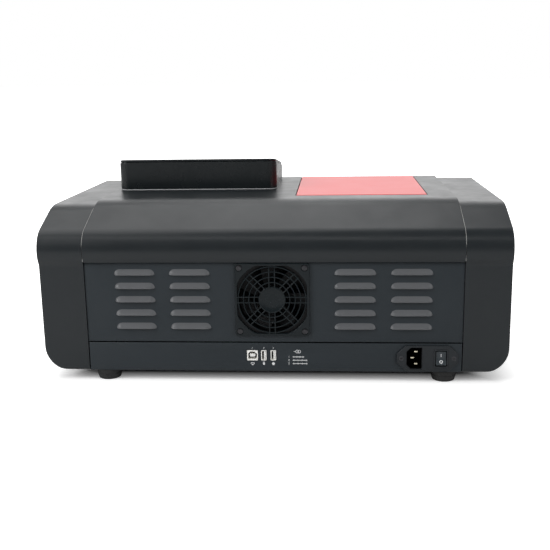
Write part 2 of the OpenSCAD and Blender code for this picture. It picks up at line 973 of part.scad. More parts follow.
module hinge_pin() {
    color("#b8babd")
        rod_x([lid_x - lid_half + 2, lid_x + lid_half - 2], hinge_y, hinge_z, pin_r);
}

module hinge_brackets() {
    color("#8d9094")
        for (side = [-1, 1])
            translate([lid_x + side * ear_dx, hinge_y, 0])
                difference() {
                    union() {
                        span([-ear_w / 2, ear_w / 2], [-ear_neck, ear_neck], [trough_z, hinge_z]);
                        rod_x([-ear_w / 2, ear_w / 2], 0, hinge_z, ear_r);
                    }
                    rod_x([-ear_w, ear_w], 0, hinge_z, pin_r);
                }
}

// Compartment liner: a deep well, a rim under the cover and a trough for the hinge
trough_y = [hinge_y - hinge_r - 2, lid_rear_y + lid_gap + 3];

module sample_tub() {
    rim_half = lid_half + rim_h;
    color("#2a2b2e")
        difference() {
            union() {
                intersection() {
                    along_x([lid_x - rim_half, lid_x + rim_half])
                        skin(wall + seat, wall + seat + deck_t);
                    span([lid_x - rim_half, lid_x + rim_half], [lid_front_y - 3, trough_y[1]],
                        [front_nose_z, tall]);
                }
                intersection() {
                    along_x([lid_x - tub_half, lid_x + tub_half])
                        case_outline(wall + seat, wall + seat);
                    span([lid_x - tub_half, lid_x + tub_half], [tub_front, tub_rear], [bench_top, tall]);
                }
                span([lid_x - rim_half, lid_x + rim_half], [trough_y[0] - deck_t, trough_y[1] + deck_t],
                    [trough_z - deck_t, top_in - seat]);
            }
            span([lid_x - lid_well, lid_x + lid_well], [tub_front + tub_wall, tub_rear - tub_wall],
                [tub_floor, tall]);
            span([lid_x - lid_half - lid_gap, lid_x + lid_half + lid_gap], trough_y, [trough_z, tall]);
            for (side = [-1, 1])
                rod_x([lid_x + side * tub_half - tub_wall - 1, lid_x + side * tub_half + tub_wall + 1],
                    beam_y, beam_z, 6);
            rod_y(lid_x, [tub_front - 1, tub_front + tub_wall + 1], rod_axis_z, rod_r + 1);
        }
}

module beam_windows() {
    color("#cfe0e8")
        for (side = [0, 1])
            translate([lid_x, 0, 0])
                mirror([side, 0, 0])
                    rod_x([tub_half, tub_half + 2], beam_y, beam_z, 8);
}

rail_y = [tub_front + tub_wall + 6, tub_rear - tub_wall - 6];

module cell_rail() {
    color("#9fa3a6")
        span([lid_x - rail_w / 2, lid_x + rail_w / 2], rail_y, [tub_floor, tub_floor + rail_h]);
}

well_bottom = carriage_z + carriage_floor;

module cell_carriage() {
    color("#303236")
        difference() {
            union() {
                span([lid_x - carriage_w / 2, lid_x + carriage_w / 2],
                    [carriage_front, carriage_front + carriage_len], [carriage_z, carriage_z + carriage_h]);
                for (side = [-1, 1])
                    translate([lid_x + side * (carriage_w + rail_w + 2 * seat) / 4, 0, 0])
                        span([-(carriage_w - rail_w) / 4 + seat / 2, (carriage_w - rail_w) / 4 - seat / 2],
                            [carriage_front, carriage_front + carriage_len],
                            [tub_floor + seat, carriage_z + eps]);
            }
            for (n = [0:well_count - 1])
                translate([lid_x, beam_y + n * well_pitch, 0]) {
                    span([-well / 2, well / 2], [-well / 2, well / 2], [well_bottom, tall]);
                    rod_x([-carriage_w, carriage_w], 0, beam_z, 4);
                }
        }
}

knob_y = [front_y - knob_out, fascia_y - 2];

module pull_rod() {
    color("#b4b7ba")
        rod_y(lid_x, [knob_y[0] + 5, carriage_front], rod_axis_z, rod_r);
}

module rod_knob() {
    color("#1a1a1c")
        difference() {
            union() {
                rod_y(lid_x, knob_y, rod_axis_z, 7);
                rod_y(lid_x, [knob_y[0], knob_y[0] + 7], rod_axis_z, 10);
            }
            rod_y(lid_x, [knob_y[0] + 5, knob_y[1] + 1], rod_axis_z, rod_r);
        }
}

module rod_bush() {
    color("#8f7a4a")
        difference() {
            union() {
                rod_y(lid_x, [fascia_y, fascia_in + 2], rod_axis_z, bush_r);
                rod_y(lid_x, [fascia_y - 1, fascia_y], rod_axis_z, bush_r + 1.6);
            }
            rod_y(lid_x, [fascia_y - 2, fascia_in + 3], rod_axis_z, rod_r + slide_gap);
        }
}

// Display: a wedge box whose top plane tilts towards the operator
module on_display() {
    translate([disp_x, disp_y0 + disp_d / 2, case_top + (disp_h_rear + disp_h_front) / 2])
        rotate([disp_tilt, 0, 0])
            children();
}

module display_form(inset, floor_up) {
    intersection() {
        translate([disp_x, disp_y0 + disp_d / 2, case_top + floor_up])
            linear_extrude(tall)
                round_rect(disp_w - 2 * inset, disp_d - 2 * inset, disp_r - inset);
        on_display()
            span([-disp_w, disp_w], [-disp_d, disp_d], [-tall, -inset]);
    }
}

module display_housing() {
    ledge = 4;
    color("#1c1d1f")
        difference() {
            display_form(0, 0);
            display_form(wall, wall);
            on_display() {
                span([-glass_w / 2 - seat, glass_w / 2 + seat], [-glass_d / 2 - seat, glass_d / 2 + seat],
                    [-glass_t, 1]);
                span([-glass_w / 2 + ledge, glass_w / 2 - ledge], [-glass_d / 2 + ledge, glass_d / 2 - ledge],
                    [-wall - 1, 0]);
            }
            span([disp_x - 15, disp_x + 15], [disp_y0 + disp_d / 2 - 5, disp_y0 + disp_d / 2 + 5],
                [case_top - 1, case_top + wall + 1]);
        }
}

module on_glass(inset, z) {
    on_display()
        span([-glass_w / 2 + inset, glass_w / 2 - inset], [-glass_d / 2 + inset, glass_d / 2 - inset], z);
}

module touch_glass() {
    color("#0d0f12")
        on_glass(0, [-glass_t, 0]);
}

module lcd_module() {
    color("#6f7478")
        on_glass(6, [-glass_t - lcd_t, -glass_t]);
}

module display_board() {
    color("#2e5c3a")
        on_glass(10, [-glass_t - lcd_t - board_t, -glass_t - lcd_t]);
}

// Optical train
module optical_bench() {
    half = tray_half - sheet - 3;
    color("#85898c")
        difference() {
            span([-half, half], [beam_y - 80, beam_y + 212], [bench_z, bench_top]);
            rod_z(grating_x, grating_y, [bench_z - 1, bench_top + 1], spindle_r + slide_gap);
        }
}

module bench_posts() {
    color("#9b9ea1")
        for (spot = post_spots)
            rod_z(spot[0], spot[1], [floor_z, bench_z], post_r);
}

mono_lid_t = 3;

module mono_case() {
    color("#3c4044")
        difference() {
            span([mono_x0, mono_x0 + mono_w], [mono_y0, mono_y0 + mono_d], [mono_z, mono_top]);
            span([mono_x0 + mono_wall, mono_x0 + mono_w - mono_wall],
                [mono_y0 + mono_wall, mono_y0 + mono_d - mono_wall], [mono_z + mono_wall, tall]);
            rod_z(grating_x, grating_y, [mono_z - 1, mono_z + mono_wall + 1], spindle_r + 1);
            rod_y(lamp_x, [mono_y0 + mono_d - mono_wall - 1, mono_y0 + mono_d + 1], beam_z, 5);
            rod_x([mono_x0 - 1, mono_x0 + mono_wall + 1], beam_y, beam_z, 5);
        }
}

module mono_lid() {
    color("#45494d")
        span([mono_x0, mono_x0 + mono_w], [mono_y0, mono_y0 + mono_d], [mono_top, mono_top + mono_lid_t]);
}

slit_half = 8;
slit_t = 1.5;
slit_w = 1;
slit_h = 8;

module slit_plates() {
    rear_wall = mono_y0 + mono_d;
    color("#1f1f21") {
        difference() {
            span([lamp_x - slit_half, lamp_x + slit_half], [rear_wall, rear_wall + slit_t],
                [beam_z - slit_half, beam_z + slit_half]);
            span([lamp_x - slit_w / 2, lamp_x + slit_w / 2], [rear_wall - 1, rear_wall + slit_t + 1],
                [beam_z - slit_h / 2, beam_z + slit_h / 2]);
        }
        difference() {
            span([mono_x0 - slit_t, mono_x0], [beam_y - slit_half, beam_y + slit_half],
                [beam_z - slit_half, beam_z + slit_half]);
            span([mono_x0 - slit_t - 1, mono_x0 + 1], [beam_y - slit_w / 2, beam_y + slit_w / 2],
                [beam_z - slit_h / 2, beam_z + slit_h / 2]);
        }
    }
}

curved_mirror_r = 17;
fold_x = mono_x0 + 26;

// A round mirror with a dished face, backed on the front wall of the case.
module curved_mirror(x) {
    rim = 8;
    dish = 1.2;
    steps = 5;
    translate([x, mono_y0 + mono_wall, beam_z])
        rotate([-90, 0, 0])
            rotate_extrude()
                polygon(concat(
                    [[0, 0], [curved_mirror_r, 0]],
                    [for (n = [steps:-1:0]) let (f = n / steps) [curved_mirror_r * f, rim - dish * (1 - f * f)]]
                ));
}

module collimating_mirror() {
    color("#d8dde0")
        curved_mirror(lamp_x);
}

module focusing_mirror() {
    color("#d8dde0")
        curved_mirror(fold_x);
}

module fold_mirror() {
    color("#d8dde0")
        union() {
            rod_z(fold_x, beam_y, [mono_z + mono_wall, beam_z - 8], 4);
            translate([fold_x, beam_y, beam_z - 10])
                rotate([0, 0, 45])
                    span([-8, 8], [-1.5, 1.5], [0, 20]);
        }
}

table_r = 20;
table_z = mono_z + mono_wall + 0.5;
table_t = 4;

module grating_table() {
    color("#9a9da0") {
        union() {
            rod_z(grating_x, grating_y, [table_z, table_z + table_t], table_r);
            rod_z(grating_x, grating_y, [pulley_z, table_z + 1], spindle_r);
        }
        difference() {
            rod_z(grating_x, grating_y, [pulley_z, bench_z - 2], pulley_big_r);
            rod_z(grating_x, grating_y, [pulley_z - 1, bench_z], spindle_r);
        }
    }
}

module grating() {
    color("#b9a7d6")
        translate([grating_x, grating_y, table_z + table_t])
            rotate([0, 0, 20])
                span([-15, 15], [0, 6], [0, 30]);
}

drive_x = grating_x;
drive_y = grating_y - pulley_span;
motor_top = pulley_z - 2;
motor_shaft_r = 2.5;

module grating_motor() {
    color("#2b2c2e")
        difference() {
            span([drive_x - 17, drive_x + 17], [drive_y - 17, drive_y + 17], [floor_z, motor_top]);
            rod_z(drive_x, drive_y, [floor_z + 4, motor_top + 1], motor_shaft_r + slide_gap);
        }
}

module motor_pulley() {
    color("#b0b3b6")
        union() {
            rod_z(drive_x, drive_y, [pulley_z, bench_z - 2], pulley_small_r);
            rod_z(drive_x, drive_y, [floor_z + 5, bench_z - 2], motor_shaft_r);
        }
}

// Outline around both pulleys: an arc on each, joined by their straight tangents.
module belt_outline(grow) {
    big = pulley_big_r + grow;
    small = pulley_small_r + grow;
    lean = asin((big - small) / pulley_span);
    steps = 24;
    polygon(concat(
        [for (n = [0:steps]) let (a = -lean + n * (180 + 2 * lean) / steps) big * [cos(a), sin(a)]],
        [for (n = [0:steps]) let (a = 180 + lean + n * (180 - 2 * lean) / steps)
            [small * cos(a), small * sin(a) - pulley_span]]
    ));
}

module drive_belt() {
    color("#151515")
        translate([grating_x, grating_y, pulley_z + 1])
            linear_extrude(5)
                difference() {
                    belt_outline(seat + 1.2);
                    belt_outline(seat);
                }
}

wheel_r = 23;
wheel_hole_ring = 17;
wheel_x = lamp_x + wheel_hole_ring;
wheel_y = mono_y0 + mono_d + 17;
wheel_shaft_r = 1.5;
wheel_t = 3;
filter_count = 6;
filter_motor_y = [mono_y0 + mono_d, wheel_y - 2.5];

module filter_wheel() {
    color("#8d9094")
        difference() {
            union() {
                rod_y(wheel_x, [wheel_y, wheel_y + wheel_t], beam_z, wheel_r);
                rod_y(wheel_x, [filter_motor_y[1] - 8, wheel_y + 1], beam_z, wheel_shaft_r);
            }
            for (n = [0:filter_count - 1])
                translate([wheel_x, 0, beam_z])
                    rotate([0, 180 + n * 360 / filter_count, 0])
                        rod_y(wheel_hole_ring, [wheel_y - 1, wheel_y + wheel_t + 1], 0, 4);
        }
}

module filter_motor() {
    color("#a2a5a8")
        difference() {
            rod_y(wheel_x, filter_motor_y, beam_z, 8);
            rod_y(wheel_x, [filter_motor_y[1] - 9, filter_motor_y[1] + 1], beam_z, wheel_shaft_r + slide_gap);
        }
}

lamp_y = lamp_y0 + lamp_d / 2;
lamp_spread = 38;
lamp_wall = 2;

module lamp_house() {
    x = [lamp_x - lamp_w / 2, lamp_x + lamp_w / 2];
    y = [lamp_y0, lamp_y0 + lamp_d];
    color("#4a4e52")
        difference() {
            span(x, y, [bench_top, bench_top + lamp_h]);
            span([x[0] + lamp_wall, x[1] - lamp_wall], [y[0] + lamp_wall, y[1] - lamp_wall],
                [bench_top - 1, bench_top + lamp_h - lamp_wall]);
            rod_y(lamp_x, [y[0] - 1, y[0] + lamp_wall + 1], beam_z, 7);
            for (slot_x = [x[0] + 14:10:x[1] - 14])
                span([slot_x - 2.5, slot_x + 2.5], [y[0] + 14, y[1] - 14],
                    [bench_top + lamp_h - 2 * lamp_wall, bench_top + lamp_h + 1]);
        }
}

module deuterium_lamp() {
    color("#d9e2e6")
        translate([lamp_x + lamp_spread, lamp_y, bench_top])
            union() {
                rod_z(0, 0, [0, 12], 16);
                rod_z(0, 0, [11, 44], 13);
                translate([0, 0, 44])
                    sphere(13);
            }
}

module tungsten_lamp() {
    color("#d9d6c8")
        translate([lamp_x - lamp_spread, lamp_y, bench_top])
            union() {
                rod_z(0, 0, [0, 16], 8);
                rod_z(0, 0, [15, 34], 5.5);
                translate([0, 0, 34])
                    sphere(5.5);
            }
}

mirror_shaft_r = 2;
mirror_motor_top = bench_top + 14;

module mirror_motor() {
    color("#a2a5a8")
        difference() {
            rod_z(lamp_x, lamp_y, [bench_top, mirror_motor_top], 12);
            rod_z(lamp_x, lamp_y, [bench_top + 3, mirror_motor_top + 1], mirror_shaft_r + slide_gap);
        }
}

module lamp_mirror() {
    color("#d8dde0")
        union() {
            rod_z(lamp_x, lamp_y, [bench_top + 4, mirror_motor_top + 3], mirror_shaft_r);
            rod_z(lamp_x, lamp_y, [mirror_motor_top + 1, mirror_motor_top + 4], 8);
            translate([lamp_x, lamp_y, mirror_motor_top + 4 - eps])
                rotate([0, 0, 45])
                    span([-12, 12], [-1.5, 1.5], [0, 24]);
        }
}

detector_x = [-tray_half + sheet + 3, lid_x - tub_half - 2.3];

module detector_box() {
    color("#5a5e62")
        difference() {
            span(detector_x, [beam_y - 28, beam_y + 28], [bench_top, bench_top + 56]);
            span([detector_x[0] + 2, detector_x[1] - 2], [beam_y - 26, beam_y + 26],
                [bench_top + 2, bench_top + 54]);
            rod_x([detector_x[1] - 3, detector_x[1] + 1], beam_y, beam_z, 6);
        }
}

base_tray();
rear_panel();
top_cover();
left_cheek();
right_cheek();
front_fascia();
rubber_feet();
foot_screws();
cheek_screws();
fan_guard();
fan_frame();
fan_rotor();
fan_screws();
power_inlet();
inlet_pins();
power_rocker();
inlet_screws();
usb_b_socket();
usb_a_sockets();
port_board();
sample_lid();
lid_grip();
hinge_pin();
hinge_brackets();
sample_tub();
beam_windows();
cell_rail();
cell_carriage();
pull_rod();
rod_knob();
rod_bush();
display_housing();
touch_glass();
lcd_module();
display_board();
optical_bench();
bench_posts();
mono_case();
mono_lid();
slit_plates();
collimating_mirror();
focusing_mirror();
fold_mirror();
grating_table();
grating();
grating_motor();
motor_pulley();
drive_belt();
filter_wheel();
filter_motor();
lamp_house();
deuterium_lamp();
tungsten_lamp();
lamp_mirror();
mirror_motor();
detector_box();
power_supply();
lamp_supply();
main_board();
board_standoffs();
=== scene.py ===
"""Looks of a benchtop spectrophotometer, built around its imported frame.

Lengths are written in millimetres and turned to metres by MM. Outlines seen from the side are
lists of (y, z), outlines seen from behind are lists of (x, z), and plan outlines are (x, y).
"""

import json
import math

import bmesh
import bpy
from mathutils import Matrix, Vector


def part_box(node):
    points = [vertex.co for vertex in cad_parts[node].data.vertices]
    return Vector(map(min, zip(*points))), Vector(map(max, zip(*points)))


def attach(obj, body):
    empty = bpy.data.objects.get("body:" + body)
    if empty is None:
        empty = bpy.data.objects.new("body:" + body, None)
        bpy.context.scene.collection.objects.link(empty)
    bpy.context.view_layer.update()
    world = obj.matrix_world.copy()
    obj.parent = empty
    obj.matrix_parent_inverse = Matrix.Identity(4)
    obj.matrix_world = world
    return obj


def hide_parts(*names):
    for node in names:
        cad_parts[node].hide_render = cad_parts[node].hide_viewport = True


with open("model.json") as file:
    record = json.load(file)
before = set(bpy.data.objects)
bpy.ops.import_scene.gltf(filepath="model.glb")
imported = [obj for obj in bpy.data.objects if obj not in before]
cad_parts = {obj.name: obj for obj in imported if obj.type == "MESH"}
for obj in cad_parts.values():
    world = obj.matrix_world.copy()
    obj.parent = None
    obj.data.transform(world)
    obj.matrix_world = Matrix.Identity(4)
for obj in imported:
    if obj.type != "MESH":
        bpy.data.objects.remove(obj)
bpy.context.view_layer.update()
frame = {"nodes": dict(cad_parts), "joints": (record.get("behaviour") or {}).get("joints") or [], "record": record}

MM = 0.001
CABINET = "cabinet"


# ---------------------------------------------------------------- sizes taken from the frame

def low(node):
    """Lowest corner of a CAD node, in millimetres."""
    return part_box(node)[0] / MM


def high(node):
    """Highest corner of a CAD node, in millimetres."""
    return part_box(node)[1] / MM


def middle(node):
    """Centre of a CAD node's box, in millimetres."""
    return (low(node) + high(node)) / 2


def joint_place(name):
    """A hinge's centre, in millimetres."""
    joint = next(j for j in frame["joints"] if j["name"] == name)
    return Vector(joint["pos_m"]) / MM


REAR = high("top_cover").y
FRONT = low("top_cover").y
TOP = high("top_cover").z
COVER_HALF = high("top_cover").x
CASE_HALF = high("right_cheek").x
CHEEK_IN = 207.7
CHEEK_TOP = high("right_cheek").z
BASE = low("base_tray").z
WALL = 3.0
NOSE_R = 26.0
REAR_NOSE_Z = 148.0
FRONT_NOSE_Z = 93.0
REAR_SLOPE = math.radians(22)
FRONT_SLOPE = math.radians(40)
LIP = 12.0
TRAY_Y = high("base_tray").y


# ---------------------------------------------------------------- outlines

def arc(centre, radius, start, stop, steps):
    """Points on an arc, with angles in degrees from the first axis."""
    angles = [math.radians(start + (stop - start) * n / steps) for n in range(steps + 1)]
    return [(centre[0] + radius * math.cos(a), centre[1] + radius * math.sin(a)) for a in angles]


def rounded(corners, closed=True, step_deg=7.0):
    """Turns (u, v, radius) corners into a line whose corners are arcs."""
    line = []
    count = len(corners)
    for n, (u, v, radius) in enumerate(corners):
        here = Vector((u, v))
        if radius <= 0 or (not closed and n in (0, count - 1)):
            line.append((u, v))
            continue
        back = (Vector(corners[n - 1][:2]) - here).normalized()
        ahead = (Vector(corners[(n + 1) % count][:2]) - here).normalized()
        opening = back.angle(ahead)
        reach = radius / math.tan(opening / 2)
        bisector = (back + ahead).normalized()
        centre = here + bisector * (radius / math.sin(opening / 2))
        start = here + back * reach - centre
        stop = here + ahead * reach - centre
        a0 = math.atan2(start.y, start.x)
        turn = (math.atan2(stop.y, stop.x) - a0 + math.pi) % (2 * math.pi) - math.pi
        steps = max(2, round(abs(math.degrees(turn)) / step_deg))
        for k in range(steps + 1):
            a = a0 + turn * k / steps
            line.append((centre.x + radius * math.cos(a), centre.y + radius * math.sin(a)))
    return line


def box_line(width, height, radius, centre=(0, 0)):
    """A rectangle with rounded corners."""
    u, v = width / 2, height / 2
    return rounded([
        (centre[0] - u, centre[1] - v, radius),
        (centre[0] + u, centre[1] - v, radius),
        (centre[0] + u, centre[1] + v, radius),
        (centre[0] - u, centre[1] + v, radius),
    ])


def inward(line, distance):
    """An open line moved sideways to its left by a distance."""
    moved = []
    for n, point in enumerate(line):
        before = Vector(line[max(n - 1, 0)])
        after = Vector(line[min(n + 1, len(line) - 1)])
        along = (after - before).normalized()
        moved.append((point[0] - along.y * distance, point[1] + along.x * distance))
    return moved


def crease_y(nose_y, nose_z, slope, top, toward):
    """Where a slope that leaves a nose meets the flat top."""
    run = (NOSE_R - (top - nose_z) * math.cos(slope)) / math.sin(slope)
    return nose_y + toward * run


def case_line(top):
    """The case seen from the side, from the rear lip over the top to the front lip."""
    rear_nose = REAR - NOSE_R
    front_nose = FRONT + NOSE_R
    tuck = math.degrees(math.asin(LIP / NOSE_R))
    rear = arc((rear_nose, REAR_NOSE_Z), NOSE_R, -tuck, 90 - math.degrees(REAR_SLOPE), 26)
    front = arc((front_nose, FRONT_NOSE_Z), NOSE_R, 90 + math.degrees(FRONT_SLOPE), 180 + tuck, 20)
    over = rounded([
        (*rear[-1], 0),
        (crease_y(rear_nose, REAR_NOSE_Z, REAR_SLOPE, top, 1), top, 75),
        (crease_y(front_nose, FRONT_NOSE_Z, FRONT_SLOPE, top, -1), top, 22),
        (*front[0], 0),
    ], closed=False, step_deg=4.0)
    return rear + over[1:-1] + front


def clipped(line, y_low, y_high):
    """The stretch of a rear-to-front line between two depths, cut exactly at both."""
    kept = []
    for (y0, z0), (y1, z1) in zip(line, line[1:]):
        for edge in (y_high, y_low):
            if (y0 - edge) * (y1 - edge) < 0:
                f = (edge - y0) / (y1 - y0)
                kept.append((edge, z0 + f * (z1 - z0)))
        if y_low <= y1 <= y_high:
            kept.append((y1, z1))
    return kept


# ---------------------------------------------------------------- mesh tools

def new_object(name, mesh):
    piece = bpy.data.objects.new(name, mesh)
    bpy.context.scene.collection.objects.link(piece)
    return piece


def from_bmesh(name, bm):
    bmesh.ops.remove_doubles(bm, verts=bm.verts, dist=1e-7)
    bmesh.ops.recalc_face_normals(bm, faces=bm.faces)
    mesh = bpy.data.meshes.new(name)
    bm.to_mesh(mesh)
    bm.free()
    return new_object(name, mesh)


AXES = {
    "x": lambda u, v, w: Vector((w, u, v)) * MM,
    "y": lambda u, v, w: Vector((u, w, v)) * MM,
    "z": lambda u, v, w: Vector((u, v, w)) * MM,
}


def prism(name, outline, axis, start, stop):
    """A closed outline, in millimetres, extruded along an axis."""
    place = AXES[axis]
    bm = bmesh.new()
    near = [bm.verts.new(place(u, v, start)) for u, v in outline]
    far = [bm.verts.new(place(u, v, stop)) for u, v in outline]
    bm.faces.new(near)
    bm.faces.new(list(reversed(far)))
    for n in range(len(outline)):
        m = (n + 1) % len(outline)
        bm.faces.new((near[n], far[n], far[m], near[m]))
    return from_bmesh(name, bm)


def block(name, xs, ys, zs):
    """A block between two corners, used as a cutter or before its edges are rounded."""
    outline = [(xs[0], ys[0]), (xs[1], ys[0]), (xs[1], ys[1]), (xs[0], ys[1])]
    return prism(name, outline, "z", zs[0], zs[1])


def turned(name, profile, axis, centre, segments=48):
    """A profile of (radius, height) turned about an axis. One that ends where it starts makes a ring."""
    bm = bmesh.new()
    rings = []
    for radius, height in profile:
        ring = []
        for n in range(segments if radius > 0 else 1):
            a = 2 * math.pi * n / segments
            u, v = radius * math.cos(a), radius * math.sin(a)
            spot = {"x": (height, u, v), "y": (u, height, v), "z": (u, v, height)}[axis]
            ring.append(bm.verts.new((Vector(spot) + Vector(centre)) * MM))
        rings.append(ring)
    closed = profile[0] == profile[-1]
    if closed:
        bmesh.ops.delete(bm, geom=rings[-1], context="VERTS")
        rings[-1] = rings[0]
    for a, b in zip(rings, rings[1:]):
        for n in range(segments):
            m = (n + 1) % segments
            corners = [a[n % len(a)], a[m % len(a)], b[m % len(b)], b[n % len(b)]]
            unique = list(dict.fromkeys(corners))
            if len(unique) > 2:
                bm.faces.new(unique)
    for ring, first in ((rings[0], True), (rings[-1], False)):
        if len(ring) > 1 and not closed:
            bm.faces.new(ring if first else list(reversed(ring)))
    return from_bmesh(name, bm)


def settle(piece):
    """Applies a piece's modifiers, so that what is left is a plain mesh."""
    depsgraph = bpy.context.evaluated_depsgraph_get()
    mesh = bpy.data.meshes.new_from_object(piece.evaluated_get(depsgraph))
    piece.modifiers.clear()
    piece.data = mesh
    return piece


def combine(piece, tool, operation):
    """A boolean of two solids. The tool is used up."""
    bpy.context.view_layer.update()
    change = piece.modifiers.new("combine", "BOOLEAN")
    change.operation = operation
    change.solver = "EXACT"
    change.object = tool
    settle(piece)
    bpy.data.objects.remove(tool)
    return piece


def cut(piece, *tools):
    for tool in tools:
        combine(piece, tool, "DIFFERENCE")
    return piece


def joined(name, pieces):
    """Several meshes as one piece."""
    bm = bmesh.new()
    for piece in pieces:
        bm.from_mesh(piece.data)
        bpy.data.objects.remove(piece)
    mesh = bpy.data.meshes.new(name)
    bm.to_mesh(mesh)
    bm.free()
    return new_object(name, mesh)


def soften(piece, width, segments=3, angle=30.0):
    """Rounds the sharp edges and shades the rest smooth."""
    if width > 0:
        bevel = piece.modifiers.new("soften", "BEVEL")
        bevel.width = width * MM
        bevel.segments = segments
        bevel.limit_method = "ANGLE"
        bevel.angle_limit = math.radians(angle)
        bevel.harden_normals = False
        settle(piece)
    return smooth(piece, 38.0)


def smooth(piece, angle):
    for face in piece.data.polygons:
        face.use_smooth = True
    piece.data.set_sharp_from_angle(angle=math.radians(angle))
    return piece


def weighted(piece):
    """Flat faces keep flat shading next to their rounded edges."""
    piece.modifiers.new("weighted", "WEIGHTED_NORMAL").keep_sharp = True
    return settle(piece)


def done(piece, body, material, slot, *nodes):
    """Gives a finished piece its material and its body, and hides the CAD nodes it stands for. The slot argument
    is not used.
    """
    piece.data.materials.clear()
    piece.data.materials.append(material)
    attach(piece, body)
    if nodes:
        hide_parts(*nodes)
    return piece


# ---------------------------------------------------------------- geometry nodes for what repeats

def repeater(name, sockets, material, build):
    """A tree with named inputs whose instances end as real geometry with a material."""
    tree = bpy.data.node_groups.new(name, "GeometryNodeTree")
    tree.interface.new_socket("Unit", in_out="INPUT", socket_type="NodeSocketObject")
    for label, kind, value in sockets:
        socket = tree.interface.new_socket(label, in_out="INPUT", socket_type=kind)
        socket.default_value = value
    tree.interface.new_socket("Geometry", in_out="OUTPUT", socket_type="NodeSocketGeometry")
    given = tree.nodes.new("NodeGroupInput")
    unit = tree.nodes.new("GeometryNodeObjectInfo")
    tree.links.new(given.outputs["Unit"], unit.inputs["Object"])
    placed = build(tree, given, unit.outputs["Geometry"])
    real = tree.nodes.new("GeometryNodeRealizeInstances")
    finish_material = tree.nodes.new("GeometryNodeSetMaterial")
    finish_material.inputs["Material"].default_value = material
    out = tree.nodes.new("NodeGroupOutput")
    tree.links.new(placed, real.inputs[0])
    tree.links.new(real.outputs[0], finish_material.inputs["Geometry"])
    tree.links.new(finish_material.outputs["Geometry"], out.inputs["Geometry"])
    return tree


def run_tree(name, tree, unit, values):
    """Puts a tree on an empty mesh, sets its inputs by their identifiers, and keeps the result."""
    piece = new_object(name, bpy.data.meshes.new(name))
    modifier = piece.modifiers.new("repeat", "NODES")
    modifier.node_group = tree
    names = {item.name: item.identifier for item in tree.interface.items_tree if item.in_out == "INPUT"}
    modifier[names["Unit"]] = unit
    for label, value in values.items():
        modifier[names[label]] = value
    bpy.context.view_layer.update()
    settle(piece)
    bpy.data.objects.remove(unit)
    return piece


def on_points(tree, points, unit, rotation=None):
    instances = tree.nodes.new("GeometryNodeInstanceOnPoints")
    tree.links.new(points, instances.inputs["Points"])
    tree.links.new(unit, instances.inputs["Instance"])
    if rotation is not None:
        tree.links.new(rotation, instances.inputs["Rotation"])
    return instances.outputs["Instances"]


def math_node(tree, operation, a, b=None):
    node = tree.nodes.new("ShaderNodeMath")
    node.operation = operation
    for socket, value in zip(node.inputs, (a, b)):
        if isinstance(value, (int, float)):
            socket.default_value = value
        elif value is not None:
            tree.links.new(value, socket)
    return node.outputs[0]


def moved_to(tree, geometry, centre):
    shift = tree.nodes.new("GeometryNodeTransform")
    tree.links.new(geometry, shift.inputs["Geometry"])
    tree.links.new(centre, shift.inputs["Translation"])
    return shift.outputs["Geometry"]


def repeat_grid(name, unit, material, columns, rows, pitch_x, pitch_z, centre):
    """A unit repeated on an upright grid of columns along X and rows along Z."""
    def build(tree, given, geometry):
        grid = tree.nodes.new("GeometryNodeMeshGrid")
        width = math_node(tree, "MULTIPLY", math_node(tree, "SUBTRACT", given.outputs["Columns"], 1),
                          given.outputs["Column Pitch"])
        height = math_node(tree, "MULTIPLY", math_node(tree, "SUBTRACT", given.outputs["Rows"], 1),
                           given.outputs["Row Pitch"])
        tree.links.new(width, grid.inputs["Size X"])
        tree.links.new(height, grid.inputs["Size Y"])
        tree.links.new(given.outputs["Columns"], grid.inputs["Vertices X"])
        tree.links.new(given.outputs["Rows"], grid.inputs["Vertices Y"])
        upright = tree.nodes.new("GeometryNodeTransform")
        upright.inputs["Rotation"].default_value = (math.pi / 2, 0, 0)
        tree.links.new(grid.outputs["Mesh"], upright.inputs["Geometry"])
        placed = on_points(tree, upright.outputs["Geometry"], geometry)
        return moved_to(tree, placed, given.outputs["Centre"])

    tree = repeater(name + "_tree", [
        ("Columns", "NodeSocketInt", 2),
        ("Rows", "NodeSocketInt", 2),
        ("Column Pitch", "NodeSocketFloat", 0.01),
        ("Row Pitch", "NodeSocketFloat", 0.01),
        ("Centre", "NodeSocketVector", (0, 0, 0)),
    ], material, build)
    return run_tree(name, tree, unit, {
        "Columns": columns,
        "Rows": rows,
        "Column Pitch": pitch_x * MM,
        "Row Pitch": pitch_z * MM,
        "Centre": [c * MM for c in centre],
    })


def repeat_ring(name, unit, material, count, axis, centre, start_deg=0.0):
    """A unit repeated in turns about an axis through a centre."""
    def build(tree, given, geometry):
        line = tree.nodes.new("GeometryNodeMeshLine")
        line.inputs["Offset"].default_value = (0, 0, 0)
        tree.links.new(given.outputs["Count"], line.inputs["Count"])
        index = tree.nodes.new("GeometryNodeInputIndex").outputs[0]
        step = math_node(tree, "DIVIDE", 2 * math.pi, given.outputs["Count"])
        angle = math_node(tree, "ADD", math_node(tree, "MULTIPLY", index, step), given.outputs["Start"])
        turn = tree.nodes.new("ShaderNodeCombineXYZ")
        tree.links.new(angle, turn.inputs[{"x": 0, "y": 1, "z": 2}[axis]])
        placed = on_points(tree, line.outputs["Mesh"], geometry, turn.outputs[0])
        return moved_to(tree, placed, given.outputs["Centre"])

    tree = repeater(name + "_tree", [
        ("Count", "NodeSocketInt", 4),
        ("Start", "NodeSocketFloat", 0.0),
        ("Centre", "NodeSocketVector", (0, 0, 0)),
    ], material, build)
    return run_tree(name, tree, unit, {
        "Count": count,
        "Start": math.radians(start_deg),
        "Centre": [c * MM for c in centre],
    })


# ---------------------------------------------------------------- materials

